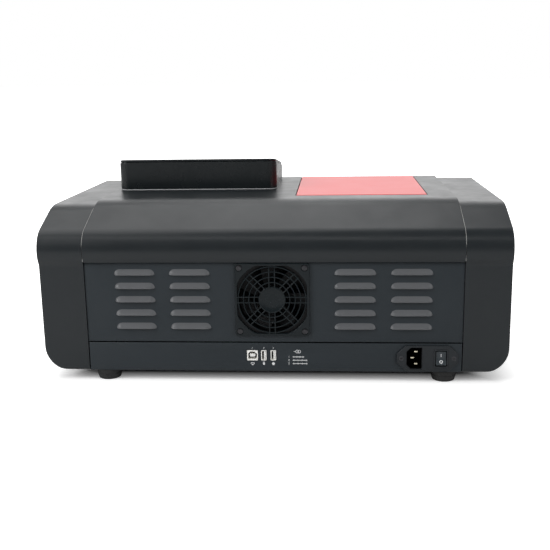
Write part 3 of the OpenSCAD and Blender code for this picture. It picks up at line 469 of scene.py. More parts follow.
class Finish:
    """A material's nodes, with short names for the ones that every finish uses."""

    def __init__(self, name):
        self.material = bpy.data.materials.new(name)
        self.material.use_nodes = True
        self.tree = self.material.node_tree
        self.shader = self.tree.nodes["Principled BSDF"]
        coordinates = self.tree.nodes.new("ShaderNodeTexCoord")
        self.place = coordinates.outputs["Object"]

    def node(self, kind, **values):
        made = self.tree.nodes.new(kind)
        for label, value in values.items():
            made.inputs[label].default_value = value
        return made

    def link(self, source, target):
        self.tree.links.new(source, target)

    def stretched(self, scale):
        mapping = self.node("ShaderNodeMapping", Scale=scale)
        self.link(self.place, mapping.inputs["Vector"])
        return mapping.outputs["Vector"]

    def noise(self, scale, detail=3.0, roughness=0.5, place=None):
        made = self.node("ShaderNodeTexNoise", Scale=scale, Detail=detail, Roughness=roughness)
        self.link(place or self.place, made.inputs["Vector"])
        return made.outputs["Fac"]

    def between(self, factor, low_value, high_value, start=0.3, stop=0.7):
        made = self.node("ShaderNodeMapRange")
        for label, value in (("From Min", start), ("From Max", stop), ("To Min", low_value), ("To Max",
                high_value)):
            made.inputs[label].default_value = value
        self.link(factor, made.inputs["Value"])
        return made.outputs["Result"]

    def mixed(self, factor, first, second):
        made = self.tree.nodes.new("ShaderNodeMix")
        made.data_type = "RGBA"
        for socket, value in ((made.inputs[6], first), (made.inputs[7], second)):
            if isinstance(value, tuple):
                socket.default_value = (*value[:3], 1)
            else:
                self.link(value, socket)
        self.link(factor, made.inputs[0])
        return made.outputs[2]

    def colour(self, source):
        if isinstance(source, tuple):
            self.shader.inputs["Base Color"].default_value = (*source[:3], 1)
        else:
            self.link(source, self.shader.inputs["Base Color"])

    def bump(self, height, depth, strength=1.0):
        made = self.node("ShaderNodeBump", Strength=strength, Distance=depth)
        before = self.shader.inputs["Normal"].links
        if before:
            self.link(before[0].from_socket, made.inputs["Normal"])
        self.link(height, made.inputs["Height"])
        self.link(made.outputs["Normal"], self.shader.inputs["Normal"])

    def roughness(self, source):
        self.link(source, self.shader.inputs["Roughness"])

    def set(self, **values):
        for label, value in values.items():
            self.shader.inputs[label.replace("_", " ")].default_value = value


def tinted(colour, factor):
    return tuple(min(1.0, c * factor) for c in colour)


def moulded_plastic(name, colour, rough=0.42, grain=1500, depth=0.00002, ior=1.5, wear=0.06, patchy=1.0):
    """Moulded plastic: spark-eroded grain, faint flow in the colour, and rubbed, dusty spots."""
    f = Finish(name)
    flow = f.noise(9, 2)
    rubbed = f.between(f.noise(26, 5, 0.65), 0, wear, 0.55, 0.8)
    base = f.mixed(flow, tinted(colour, 1 - 0.1 * patchy), tinted(colour, 1 + 0.12 * patchy))
    f.colour(f.mixed(rubbed, base, tinted(colour, 1.6)))
    f.roughness(f.between(f.noise(34, 4, 0.6), rough - 0.04 * patchy, rough + 0.05 * patchy))
    f.bump(f.noise(grain, 2, 0.6), depth, 0.5)
    f.set(IOR=ior)
    return f.material


def powder_coat(name, colour, rough=0.5):
    """Powder coat on sheet steel: fine orange peel, colour a little uneven."""
    f = Finish(name)
    f.colour(f.mixed(f.noise(14, 3), tinted(colour, 0.92), tinted(colour, 1.08)))
    f.roughness(f.between(f.noise(60, 4, 0.6), rough - 0.05, rough + 0.06))
    f.bump(f.noise(700, 2, 0.5), 0.00003, 0.6)
    f.bump(f.noise(2600, 2, 0.5), 0.00001, 0.5)
    f.set(IOR=1.34)
    return f.material


def bright_metal(name, colour, rough=0.3, stretch=(1, 1, 1), grain=900, depth=0.00001, metallic=1.0):
    """Bare metal: drawn or turned marks along one direction, and clouded roughness."""
    f = Finish(name)
    marks = f.noise(grain, 4, 0.6, f.stretched(stretch))
    f.colour(f.mixed(marks, tinted(colour, 0.88), tinted(colour, 1.06)))
    f.roughness(f.between(f.noise(70, 4), rough - 0.07, rough + 0.08))
    f.bump(marks, depth, 0.5)
    f.set(Metallic=metallic)
    return f.material


def rubber(name, colour):
    """Matt rubber with a dusty bloom."""
    f = Finish(name)
    bloom = f.between(f.noise(120, 5, 0.7), 0.0, 0.35, 0.45, 0.8)
    f.colour(f.mixed(bloom, colour, tinted(colour, 2.2)))
    f.roughness(f.between(f.noise(300, 3), 0.62, 0.8))
    f.bump(f.noise(1600, 3), 0.00004, 0.6)
    return f.material


def clear_glass(name, tint=(0.95, 0.97, 1.0)):
    """Fused quartz: clear, with faint striae."""
    f = Finish(name)
    f.colour(f.mixed(f.noise(60, 2), tint, tinted(tint, 0.96)))
    f.roughness(f.between(f.noise(40, 3), 0.02, 0.06))
    f.bump(f.noise(120, 2), 0.00002, 0.3)
    f.set(Transmission_Weight=1.0, IOR=1.46)
    return f.material


def screen_glass(name):
    """Cover glass over a dark screen: black border, and finger smears in the gloss."""
    f = Finish(name)
    smear = f.noise(18, 5, 0.6, f.stretched((1, 3.5, 1)))
    f.colour(f.mixed(f.noise(7, 2), (0.006, 0.007, 0.009), (0.010, 0.012, 0.015)))
    f.roughness(f.between(smear, 0.04, 0.16, 0.4, 0.75))
    f.bump(f.noise(9, 1), 0.00002, 0.1)
    f.set(IOR=1.52, Coat_Weight=0.4, Coat_Roughness=0.03)
    return f.material


def circuit_board(name):
    """Green solder mask with copper tracks showing through as raised lines."""
    f = Finish(name)
    tracks = f.node("ShaderNodeTexBrick", Scale=90.0)
    tracks.offset_frequency = 3
    f.link(f.place, tracks.inputs["Vector"])
    tracks.inputs["Color1"].default_value = (0.012, 0.10, 0.035, 1)
    tracks.inputs["Color2"].default_value = (0.016, 0.13, 0.045, 1)
    tracks.inputs["Mortar"].default_value = (0.05, 0.22, 0.08, 1)
    f.colour(f.mixed(f.noise(120, 3), tracks.outputs["Color"], (0.02, 0.12, 0.04)))
    f.roughness(f.between(f.noise(200, 3), 0.25, 0.4))
    f.bump(tracks.outputs["Fac"], 0.00003, 0.5)
    return f.material


def printed_ink(name, colour=(0.78, 0.79, 0.8)):
    """Screen-printed marking, slightly worn."""
    f = Finish(name)
    worn = f.between(f.noise(900, 4, 0.7), 0.0, 0.45, 0.5, 0.9)
    f.colour(f.mixed(worn, colour, tinted(colour, 0.55)))
    f.roughness(f.between(f.noise(500, 2), 0.5, 0.65))
    f.bump(f.noise(1800, 2), 0.00001, 0.4)
    return f.material


def mirror_coat(name):
    """First-surface mirror with a thin haze."""
    f = Finish(name)
    f.colour(f.mixed(f.noise(30, 2), (0.86, 0.88, 0.9), (0.92, 0.93, 0.95)))
    f.roughness(f.between(f.noise(50, 3), 0.03, 0.08))
    f.bump(f.noise(200, 2), 0.00001, 0.1)
    f.set(Metallic=1.0)
    return f.material


CASE = moulded_plastic("case_moulding", (0.0105, 0.0138, 0.0162), rough=0.34, ior=1.42)
HOUSING = moulded_plastic("display_moulding", (0.0085, 0.0115, 0.013), rough=0.26, ior=1.42, grain=2200,
        depth=0.00001)
RED = moulded_plastic("lid_moulding", (0.7, 0.022, 0.024), rough=0.34, ior=1.46, wear=0.02, patchy=0.25)
BLACK = moulded_plastic("black_moulding", (0.014, 0.0145, 0.016), rough=0.45, grain=1800)
INLET_BLACK = moulded_plastic("inlet_moulding_black", (0.017, 0.020, 0.023), rough=0.34, ior=1.34, grain=2000)
RING_BLACK = moulded_plastic("guard_moulding", (0.005, 0.0085, 0.0105), rough=0.26, ior=1.32, grain=2400,
        depth=0.00001)
ROCKER_BLACK = moulded_plastic("rocker_moulding", (0.034, 0.042, 0.048), rough=0.34, ior=1.4, grain=2400,
        depth=0.00001)
LINER = moulded_plastic("liner_moulding", (0.02, 0.02, 0.022), rough=0.6, grain=900, depth=0.00004)
# Near-black, barely reflective sheet lining the inlet's recess: painted shade for the dark inside of the socket.
THROAT_PAINTED_SHADE = moulded_plastic("throat_painted_shade", (0.0015, 0.0015, 0.0018), rough=0.7, grain=2000, ior=1.08)
# The fan's black plastic, made darker and less glossy than the other black mouldings: partly its own colour,
# partly painted shade inside the guard's opening.
FAN_BLACK_PAINTED_SHADE = moulded_plastic("fan_moulding_painted_shade", (0.006, 0.006, 0.007), rough=0.5, grain=1500, ior=1.3)
# Pale grey for the strips in the cover-to-cheek joints: a painted highlight along the joint's edges.
SEAM_PAINTED_HIGHLIGHT = moulded_plastic("seam_painted_highlight", (0.36, 0.36, 0.35), rough=0.5, grain=2500)
# Light grey for a thin band round the display's foot: a painted highlight standing in for light on a rounded
# flange there.
BASE_LINE_PAINTED_HIGHLIGHT = moulded_plastic("display_base_painted_highlight", (0.55, 0.56, 0.57), rough=0.5, grain=2500)
SLATE = powder_coat("slate_powder", (0.021, 0.027, 0.032))
# Louvre hoods: the slate powder coat made about four times lighter, a painted highlight for the light their
# upward-facing hoods catch.
LOUVRE_PAINTED_HIGHLIGHT = powder_coat("louvre_powder_painted_highlight", (0.10, 0.104, 0.11), 0.4)
GREY_PAINT = powder_coat("grey_paint", (0.09, 0.1, 0.11), 0.45)
MOTOR_PAINT = powder_coat("motor_enamel", (0.02, 0.02, 0.022), 0.35)
FOOT_RUBBER = rubber("foot_rubber", (0.012, 0.012, 0.012))
ZINC = bright_metal("zinc_plate", (0.6, 0.6, 0.6), 0.34, grain=700)
# Port shells: tin plating is pale, but this near-white, non-metallic colour also paints in the sheen of its
# reflections.
TIN_PAINTED_SHEEN = bright_metal("tin_shell_painted_sheen", (0.99, 0.97, 0.92), 0.34, (1, 8, 1), 500, metallic=0.0)
STEEL = bright_metal("ground_steel", (0.66, 0.66, 0.67), 0.22, (1, 14, 1), 300)
BLACK_ZINC = bright_metal("black_screw", (0.07, 0.07, 0.075), 0.36, grain=900)
BRASS = bright_metal("turned_brass", (0.74, 0.55, 0.27), 0.28, (1, 1, 12), 400)
GOLD = bright_metal("contact_plate", (0.84, 0.78, 0.6), 0.2, grain=1200)
ALUMINIUM = bright_metal("milled_aluminium", (0.62, 0.63, 0.64), 0.34, (1, 10, 10), 260)
CAST = bright_metal("cast_aluminium", (0.42, 0.43, 0.44), 0.5, grain=500, depth=0.00006)
ANODISED = bright_metal("black_anodised", (0.035, 0.035, 0.038), 0.42, grain=1100)
CAGE = bright_metal("galvanised_sheet", (0.5, 0.51, 0.52), 0.36, grain=120, depth=0.00003)
QUARTZ = clear_glass("quartz")
SCREEN = screen_glass("screen_glass")
BOARD = circuit_board("solder_mask")
INK = printed_ink("white_print")
NYLON = moulded_plastic("white_insulator", (0.86, 0.86, 0.84), rough=0.4, grain=1500)
MIRROR = mirror_coat("mirror_coating")


# ---------------------------------------------------------------- case mouldings

def lid_limits():
    lo, hi = low("sample_lid"), high("sample_lid")
    return (lo.x, hi.x), (lo.y, hi.y)


LID_X, LID_Y = lid_limits()
LID_GAP = 1.0
HINGE = joint_place("lid_hinge")
BARREL_R = LID_Y[1] - HINGE.y


def make_top_cover():
    outer = case_line(TOP)
    cover = prism("top_cover_shell", outer + inward(outer, WALL)[::-1], "x", -COVER_HALF, COVER_HALF)
    mouth = block("mouth", (LID_X[0] - LID_GAP, LID_X[1] + LID_GAP),
                  (LID_Y[0] - LID_GAP, LID_Y[1] + LID_GAP), (FRONT_NOSE_Z, TOP + 20))
    cut(cover, mouth)
    soften(cover, 0.6, 3)
    done(weighted(cover), CABINET, CASE, "case_plastic", "top_cover")


def cheek_side(inset):
    """A cheek from the side: the case line, closed by a plain plate below the noses."""
    step = 4.5
    noses = case_line(CHEEK_TOP)
    if inset:
        noses = inward(noses, inset)
    kept = [p for p in noses if p[1] > (REAR_NOSE_Z if p[0] > 0 else FRONT_NOSE_Z) - 9.5]
    under = rounded([
        (kept[-1][0], kept[-1][1], 0),
        (FRONT + step + inset, FRONT_NOSE_Z - 15.0, 9),
        (FRONT + step + inset, BASE + inset, max(0.5, 4 - inset)),
        (REAR - step - inset, BASE + inset, max(0.5, 4 - inset)),
        (REAR - step - inset, REAR_NOSE_Z - 15.0, 9),
        (kept[0][0], kept[0][1], 0),
    ], closed=False)
    return kept + under[1:-1]


def cheek_end(inset):
    """A cheek from behind: a bar whose lower outer corner is a wide arc."""
    outer = CASE_HALF - inset
    inner = CHEEK_IN if not inset else CHEEK_IN - 5
    return rounded([
        (inner, BASE + inset, 0),
        (outer, BASE + inset, 28 - inset),
        (outer, CHEEK_TOP + 6, 0),
        (inner, CHEEK_TOP + 6, 0),
    ], step_deg=4.0)


def cheek_form(name, inset):
    side = prism(name, cheek_side(inset), "x", CHEEK_IN - (5 if inset else 0), CASE_HALF - inset)
    end = prism("end", cheek_end(inset), "y", FRONT - 5, REAR + 5)
    return combine(side, end, "INTERSECT")


def round_outer_edge(piece, width):
    """Rounds the long edge round a cheek's outer face more than its other edges."""
    bm = bmesh.new()
    bm.from_mesh(piece.data)
    rim = [
        edge for edge in bm.edges
        if len(edge.link_faces) == 2 and edge.calc_face_angle(0) > math.radians(30)
        and min(v.co.x for v in edge.verts) > (CASE_HALF - 1) * MM
    ]
    bmesh.ops.bevel(bm, geom=rim, offset=width * MM, segments=5, profile=0.5, affect="EDGES",
                    clamp_overlap=True)
    bm.to_mesh(piece.data)
    bm.free()
    return piece


def mirrored(piece, name):
    """A copy on the other side of the case, with its faces turned the right way out."""
    bm = bmesh.new()
    bm.from_mesh(piece.data)
    bmesh.ops.scale(bm, vec=(-1, 1, 1), verts=bm.verts)
    bmesh.ops.reverse_faces(bm, faces=bm.faces)
    mesh = bpy.data.meshes.new(name)
    bm.to_mesh(mesh)
    bm.free()
    return new_object(name, mesh)


def make_cheeks():
    right = cheek_form("right_cheek_shell", 0)
    round_outer_edge(right, 3.2)
    soften(right, 0.5, 2, 50)
    cut(right, cheek_form("hollow", WALL))
    weighted(smooth(right, 38))
    left = mirrored(right, "left_cheek_shell")
    smooth(left, 38)
    done(weighted(left), CABINET, CASE, "case_plastic", "left_cheek")
    done(right, CABINET, CASE, "case_plastic", "right_cheek")


def make_seam_highlight_strips():
    """Thin pale strips in the joint between the cover and each cheek, on both slopes: a painted highlight along
    the joint's edges.
    """
    line = case_line(CHEEK_TOP)
    outer, inner = inward(line, 0.12), inward(line, 1.6)
    strips = []
    crease = crease_y(REAR - NOSE_R, REAR_NOSE_Z, REAR_SLOPE, CHEEK_TOP, 1)
    for y_low, y_high in ((crease + 2, REAR - 1.5), (FRONT + 12, FRONT + 110)):
        outline = clipped(outer, y_low, y_high) + clipped(inner, y_low, y_high)[::-1]
        for side in (-1, 1):
            xs = sorted((side * (COVER_HALF - 0.05), side * (CHEEK_IN + 0.05)))
            strips.append(prism("strip", outline, "x", *xs))
    done(joined("seam_seals", strips), CABINET, SEAM_PAINTED_HIGHLIGHT, "case_plastic")


def make_sample_lid():
    outer = case_line(TOP)
    barrel_start = HINGE.y
    skin = clipped(outer, LID_Y[0], barrel_start)
    inner = clipped(inward(outer, WALL), LID_Y[0], barrel_start - BARREL_R + 0.6)
    barrel = arc((HINGE.y, HINGE.z), BARREL_R, 84, -200, 40)
    lid = prism("sample_lid_shell", barrel + inner + skin[::-1], "x", *LID_X)
    cut(lid, turned("bore", [(1.55, LID_X[0] - 1), (1.55, LID_X[1] + 1)], "x", (0, HINGE.y, HINGE.z), 24))
    half = 3.4
    for x in (low("hinge_brackets").x + 3, high("hinge_brackets").x - 3):
        cut(lid, block("pocket", (x - half, x + half), (HINGE.y - 3.3, HINGE.y + 6), (HINGE.z - 7,
                HINGE.z + 2.9)))
    soften(lid, 0.7, 3)
    done(weighted(lid), "lid", RED, "lid_red", "sample_lid")
    ribs = []
    deep = inward(outer, 9.0)
    for side in (LID_X[0] + 10.0, LID_X[1] - 12.0):
        line = clipped(inward(outer, WALL - 0.4), LID_Y[0] + 14, 34)
        floor_line = clipped(deep, LID_Y[0] + 14, 34)
        rib = prism("rib", line + floor_line[::-1], "x", side, side + 2)
        ribs.append(soften(rib, 0.4, 2))
    done(joined("lid_light_ribs", ribs), "lid", RED, "lid_red")


def make_lid_grip():
    """A finger bar that stands on the lid's front slope, with rounded ends and a ribbed back."""
    lo, hi = low("lid_grip"), high("lid_grip")
    width = hi.x - lo.x
    middle_x = (lo.x + hi.x) / 2
    outline = [(u + middle_x, v) for u, v in box_line(width, 8.0, 3.9)]
    bar = prism("lid_finger_bar", outline, "z", 0, 5.0)
    soften(bar, 1.2, 4)
    ribs = []
    for n in range(15):
        x = lo.x + 7 + n * (width - 14) / 14
        ribs.append(prism("rib", [(x - 0.7, -3), (x + 0.7, -3), (x + 0.7, 3), (x - 0.7, 3)], "z", 4.6, 5.5))
    bar = joined("lid_finger_bar", [bar] + [soften(r, 0.3, 2) for r in ribs])
    centre = Vector((0, (lo.y + hi.y) / 2, (lo.z + hi.z) / 2)) * MM
    tilt = Matrix.Rotation(FRONT_SLOPE, 4, "X")
    normal = Vector((0, -math.sin(FRONT_SLOPE), math.cos(FRONT_SLOPE)))
    bar.data.transform(Matrix.Translation(centre - normal * 2.6 * MM) @ tilt)
    smooth(bar, 38)
    done(bar, "lid", BLACK, "black_plastic", "lid_grip")


# ---------------------------------------------------------------- display housing

DISPLAY_LIP = 3.2


def display_plane():
    """Height of the display's tilted top at a depth, from its rear and front edges."""
    hi = high("display_housing")
    glass_lo, glass_hi = low("touch_glass"), high("touch_glass")
    tilt = math.atan2(glass_hi.z - glass_lo.z - 1.8, glass_hi.y - glass_lo.y)
    return lambda y: hi.z + DISPLAY_LIP - (hi.y - y) * math.tan(tilt)


def wedge(name, inset, radius, z_low, drop_low, drop_high):
    """A plan outline between two heights: flat or tilted below, tilted on top."""
    lo, hi = low("display_housing"), high("display_housing")
    plane = display_plane()
    outline = box_line(hi.x - lo.x - 2 * inset, hi.y - lo.y - 2 * inset, radius,
                       ((lo.x + hi.x) / 2, (lo.y + hi.y) / 2))
    bm = bmesh.new()
    bottom = [bm.verts.new(Vector((x, y, z_low if z_low else plane(y) - drop_low)) * MM) for x, y in outline]
    top = [bm.verts.new(Vector((x, y, plane(y) - drop_high)) * MM) for x, y in outline]
    bm.faces.new(bottom)
    bm.faces.new(top[::-1])
    for n in range(len(outline)):
        m = (n + 1) % len(outline)
        bm.faces.new((bottom[n], top[n], top[m], bottom[m]))
    return from_bmesh(name, bm)


def make_display():
    lo, hi = low("display_housing"), high("display_housing")
    glass_lo, glass_hi = low("touch_glass"), high("touch_glass")
    rim = 3.0
    body = wedge("display_body", 0.0, 12, lo.z + 0.8, 0, rim + 0.5)
    cut(body, wedge("inside", 3.0, 9, lo.z + 3, 0, -1))
    soften(body, 0.7, 3)
    done(weighted(body), CABINET, HOUSING, "housing_plastic", "display_housing")

    bezel = wedge("display_bezel", 0.7, 11.3, 0, rim + 0.4, 0.0)
    sides = (hi.x - lo.x - (glass_hi.x - glass_lo.x)) / 2 - 0.3
    cut(bezel, wedge("window", sides, 2, 0, rim + 9, -2))
    soften(bezel, 1.3, 4)
    done(weighted(bezel), CABINET, HOUSING, "housing_plastic")

    pane = wedge("touch_pane", sides + 0.3, 2, 0, 2.2, 0.4)
    soften(pane, 0.3, 2)
    done(weighted(pane), CABINET, SCREEN, "cover_glass", "touch_glass")

    # A thin light grey band at the foot of the display housing, a painted highlight along its lower edge.
    base_band = wedge("display_gasket", 0.0, 12, lo.z + 0.02, 0, 0)
    keep = block("keep", (lo.x - 1, hi.x + 1), (lo.y - 1, hi.y + 1), (lo.z, lo.z + 0.7))
    combine(base_band, keep, "INTERSECT")
    cut(base_band, wedge("inside", 4.0, 8, lo.z - 3, 0, -1))
    done(smooth(base_band, 38), CABINET, BASE_LINE_PAINTED_HIGHLIGHT, "housing_plastic")


# ---------------------------------------------------------------- rear panel and tray

PANEL_OUT = low("fan_guard").y
PANEL_LOW = low("rear_panel").z
PANEL_HIGH = high("rear_panel").z
SHEET = 1.2
FAN = joint_place("fan_spin")
FAN_PITCH = 71.5
FAN_BORE = 38.0
LOUVRE_COLUMNS = (-151.5, -90.5, 90.5, 151.5)
LOUVRE_PITCH = 15.2
LOUVRE_ROWS = 5
LOUVRE_LOWEST = PANEL_HIGH - 5.1 - 8 - 4 * LOUVRE_PITCH
LOUVRE_LENGTH = 45.0
LOUVRE_TALL = 8.0
LOUVRE_OUT = 3.6


def guard_opening():
    """A circle cut off by the four sides of a square, about the fan's axis."""
    reach, flat, steps = 42.0, 38.2, 96
    line = []
    for n in range(steps):
        a = 2 * math.pi * n / steps
        u, v = reach * math.cos(a), reach * math.sin(a)
        line.append((FAN.x + max(-flat, min(flat, u)), FAN.z + max(-flat, min(flat, v))))
    return [p for n, p in enumerate(line) if p != line[n - 1]]


def louvre_hood():
    """One pressed hood: flush at its top and ends, standing out along its open lower edge."""
    along, up = 28, 8
    end_length = 6.5
    bm = bmesh.new()
    rows = []
    for i in range(along + 1):
        x = -LOUVRE_LENGTH / 2 * math.cos(math.pi * i / along)
        past = max(0.0, abs(x) - (LOUVRE_LENGTH / 2 - end_length)) / end_length
        swell = math.sqrt(max(0.0, 1 - past * past))
        row = []
        for j in range(up + 1):
            t = j / up
            out = (LOUVRE_OUT + 0.3) * swell * t ** 1.8 - 0.3
            z = LOUVRE_TALL * (0.2 + 0.8 * swell) * (1 - t)
            row.append(bm.verts.new(Vector((x, out, z)) * MM))
        rows.append(row)
    for a, b in zip(rows, rows[1:]):
        for j in range(up):
            bm.faces.new((a[j], a[j + 1], b[j + 1], b[j]))
    hood = from_bmesh("hood", bm)
    if hood.data.polygons[len(hood.data.polygons) // 2].normal.y < 0:
        hood.data.flip_normals()
    shell = hood.modifiers.new("sheet", "SOLIDIFY")
    shell.thickness = 0.9 * MM
    shell.offset = -1
    settle(hood)
    return smooth(hood, 40)


def make_rear_panel():
    outline = box_line(2 * COVER_HALF, PANEL_HIGH - PANEL_LOW, 0.8, (0, (PANEL_HIGH + PANEL_LOW) / 2))
    panel = prism("rear_panel_sheet", outline, "y", PANEL_OUT - SHEET, PANEL_OUT)
    soften(panel, 0.25, 2)
    tools = [prism("bore", guard_opening(), "y", PANEL_OUT - 5, PANEL_OUT + 5)]
    slots = []
    for x in LOUVRE_COLUMNS:
        for row in range(LOUVRE_ROWS):
            z = LOUVRE_LOWEST + row * LOUVRE_PITCH
            half = LOUVRE_LENGTH / 2 - 3
            slots.append(block("slot", (x - half, x + half), (PANEL_OUT - 4, PANEL_OUT + 3), (z + 0.2,
                    z + 4.5)))
    tools.append(joined("slots", slots))
    cut(panel, *tools)
    for side in (-1, 1):
        x = side * (COVER_HALF - 2.4)
        lip = block("return", (min(x, x - side * SHEET), max(x, x - side * SHEET)),
                    (PANEL_OUT - 9, PANEL_OUT - SHEET + 0.1), (PANEL_LOW + 3, PANEL_HIGH - 10))
        panel = joined("rear_panel_sheet", [panel, lip])
    done(panel, CABINET, SLATE, "chassis_paint", "rear_panel")
    centre = (sum(LOUVRE_COLUMNS[:2]) / 2, PANEL_OUT, LOUVRE_LOWEST + 2 * LOUVRE_PITCH)
    for side, name in ((1, "louvres_left"), (-1, "louvres_right")):
        louvres = repeat_grid(name, louvre_hood(), LOUVRE_PAINTED_HIGHLIGHT, 2, LOUVRE_ROWS, 61.0, LOUVRE_PITCH,
                              (side * centre[0], centre[1], centre[2]))
        done(smooth(louvres, 40), CABINET, LOUVRE_PAINTED_HIGHLIGHT, "chassis_paint")


INLET_MID = (low("power_inlet") + high("power_inlet")) / 2
USB_B = (low("usb_b_socket"), high("usb_b_socket"))


def usb_a_places():
    """The two upright sockets, taken from the corners of their node."""
    lo, hi = low("usb_a_sockets"), high("usb_a_sockets")
    wide = 5.9
    return [(Vector((x0, lo.y, lo.z)), Vector((x0 + wide, hi.y, hi.z))) for x0 in (lo.x, hi.x - wide)]


def make_tray():
    """The folded tray: a floor and two upstands bent from one sheet, a hem along the rear edge."""
    half = high("base_tray").x
    front = low("base_tray").y
    seam = PANEL_LOW - 1.2
    bend = 1.8
    line = rounded([
        (TRAY_Y - 0.2, seam, 0),
        (TRAY_Y, seam - 1.0, 0.8),
        (TRAY_Y, BASE, bend),
        (front, BASE, bend),
        (front, BASE + 26, 0),
    ], closed=False)
    tray = prism("tray_fold", line + inward(line, -SHEET)[::-1], "x", -half, half)
    holes = []
    body_half = (28.5 - 5.0, 13.4)
    holes.append(block("inlet", (INLET_MID.x - body_half[0], INLET_MID.x + body_half[0]),
                       (TRAY_Y - 5, TRAY_Y + 5), (INLET_MID.z - body_half[1], INLET_MID.z + body_half[1])))
    for lo, hi in [USB_B] + usb_a_places():
        holes.append(block("port", (lo.x - 0.35, hi.x + 0.35), (TRAY_Y - 5, TRAY_Y + 5), (lo.z - 0.35,
                hi.z + 0.35)))
    cut(tray, joined("holes", holes))
    soften(tray, 0.25, 2)
    walls = []
    for side in (-1, 1):
        edge = clipped(inward(case_line(TOP), WALL + 0.5), front + 1, PANEL_OUT - SHEET)
        outline = [(y, min(z, REAR_NOSE_Z - 18)) for y, z in edge]
        outline += [(front + 1, BASE + 0.5), (PANEL_OUT - SHEET, BASE + 0.5)]
        x = sorted((side * half, side * (half - SHEET)))
        walls.append(prism("wall", outline, "x", *x))
    tray = joined("tray_fold", [tray] + walls)
    done(smooth(tray, 38), CABINET, SLATE, "chassis_paint", "base_tray")


def make_front_fascia():
    lo, hi = low("front_fascia"), high("front_fascia")
    outline = box_line(hi.x - lo.x, hi.z - lo.z, 1.2, (0, (lo.z + hi.z) / 2))
    plate = prism("front_fascia_plate", outline, "y", lo.y, hi.y)
    rod = middle("pull_rod")
    cut(plate, turned("bore", [(6.0, lo.y - 2), (6.0, hi.y + 2)], "y", (rod.x, 0, rod.z), 40))
    soften(plate, 0.6, 3)
    done(weighted(plate), CABINET, CASE, "chassis_paint", "front_fascia")


def make_feet():
    spots = [
        (x, y) for x in (low("rubber_feet").x, high("rubber_feet").x)
        for y in (low("rubber_feet").y, high("rubber_feet").y)
    ]
    reach = 14.5
    tall = high("rubber_feet").z
    profile = [(4.4, 0), (11.6, 0), (12.3, 0.4), (13.3, 3.6), (13.7, 4.8)]
    profile += [(13.9, 6.2), (13.5, 6.5), (13.5, 7.0), (14.0, 7.3), (14.4, 9.5), (14.5, tall), (2.0, tall)]
    profile += [(2.0, 6.0), (4.4, 6.0), (4.4, 0)]
    feet = []
    for x, y in spots:
        inset_x = x - reach if x > 0 else x + reach
        inset_y = y - reach if y > 0 else y + reach
        feet.append(turned("foot", profile, "z", (inset_x, inset_y, 0), 48))
    done(smooth(joined("feet", feet), 34), CABINET, FOOT_RUBBER, "rubber_black", "rubber_feet")


# ---------------------------------------------------------------- fan

GUARD_T = high("fan_guard").y - low("fan_guard").y
GUARD_HALF = (high("fan_guard").x - low("fan_guard").x) / 2
GUARD_RINGS = (19.6, 25.5, 31.4, 37.2)
HUB_R = 14.8


def at_fan(points, dz=0.0):
    return [(FAN.x + u, FAN.z + v + dz) for u, v in points]


def make_fan_guard():
    """A moulded finger guard: square plate, round opening cut off by its sides, rings and double spokes."""
    plate = prism("fan_guard_shell", at_fan(box_line(2 * GUARD_HALF, 2 * GUARD_HALF, 3.0)), "y",
                  PANEL_OUT, PANEL_OUT + GUARD_T)
    recess = []
    for sx in (-1, 1):
        for sz in (-1, 1):
            spot = (FAN.x + sx * FAN_PITCH / 2, 0, FAN.z + sz * FAN_PITCH / 2)
            recess.append(turned("recess", [(0.01, PANEL_OUT - 0.5), (1.9, PANEL_OUT - 0.5), (1.9,
                    PANEL_OUT + 0.9),
                                            (3.7, PANEL_OUT + 1.4), (3.7, PANEL_OUT + 6), (0.01,
                                                    PANEL_OUT + 6)],
                                 "y", spot, 32))
    cut(plate, prism("opening", guard_opening(), "y", PANEL_OUT - 3, PANEL_OUT + 6))
    soften(plate, 0.45, 3)
    cut(plate, *recess)
    parts = [plate]
    mid = PANEL_OUT + GUARD_T - 1.5
    for radius in GUARD_RINGS:
        wide = 0.65
        profile = [(radius - wide, mid - 0.6), (radius - wide, mid + 1.0), (radius - wide / 2, mid + 1.4),
                   (radius + wide / 2, mid + 1.4), (radius + wide, mid + 1.0), (radius + wide, mid - 0.6),
                   (radius - wide, mid - 0.6)]
        parts.append(turned("ring", profile, "y", (FAN.x, 0, FAN.z), 96))
    top = PANEL_OUT + GUARD_T
    hub = [(0.01, PANEL_OUT + 0.3), (HUB_R, PANEL_OUT + 0.3), (HUB_R, top - 0.5), (HUB_R - 0.4, top - 0.1),
           (HUB_R - 1.2, top), (HUB_R - 1.8, top - 0.35), (6, top - 0.2), (0.01, top - 0.15)]
    parts.append(turned("hub", hub, "y", (FAN.x, 0, FAN.z), 72))
    guard = joined("fan_guard_shell", parts)
    done(smooth(guard, 34), CABINET, RING_BLACK, "black_plastic", "fan_guard")

    bars = []
    for side in (-1, 1):
        middle_u = side * 3.1
        bar = [(middle_u - 0.65, HUB_R - 1.5), (middle_u + 0.65, HUB_R - 1.5),
               (middle_u + 0.65, 38.6), (middle_u - 0.65, 38.6)]
        bars.append(soften(prism("bar", bar, "y", mid - 0.6, mid + 1.3), 0.3, 3))
    spokes = repeat_ring("fan_guard_spokes", joined("bars", bars), RING_BLACK, 8, "y", (FAN.x, 0, FAN.z))
    done(smooth(spokes, 34), CABINET, RING_BLACK, "black_plastic")


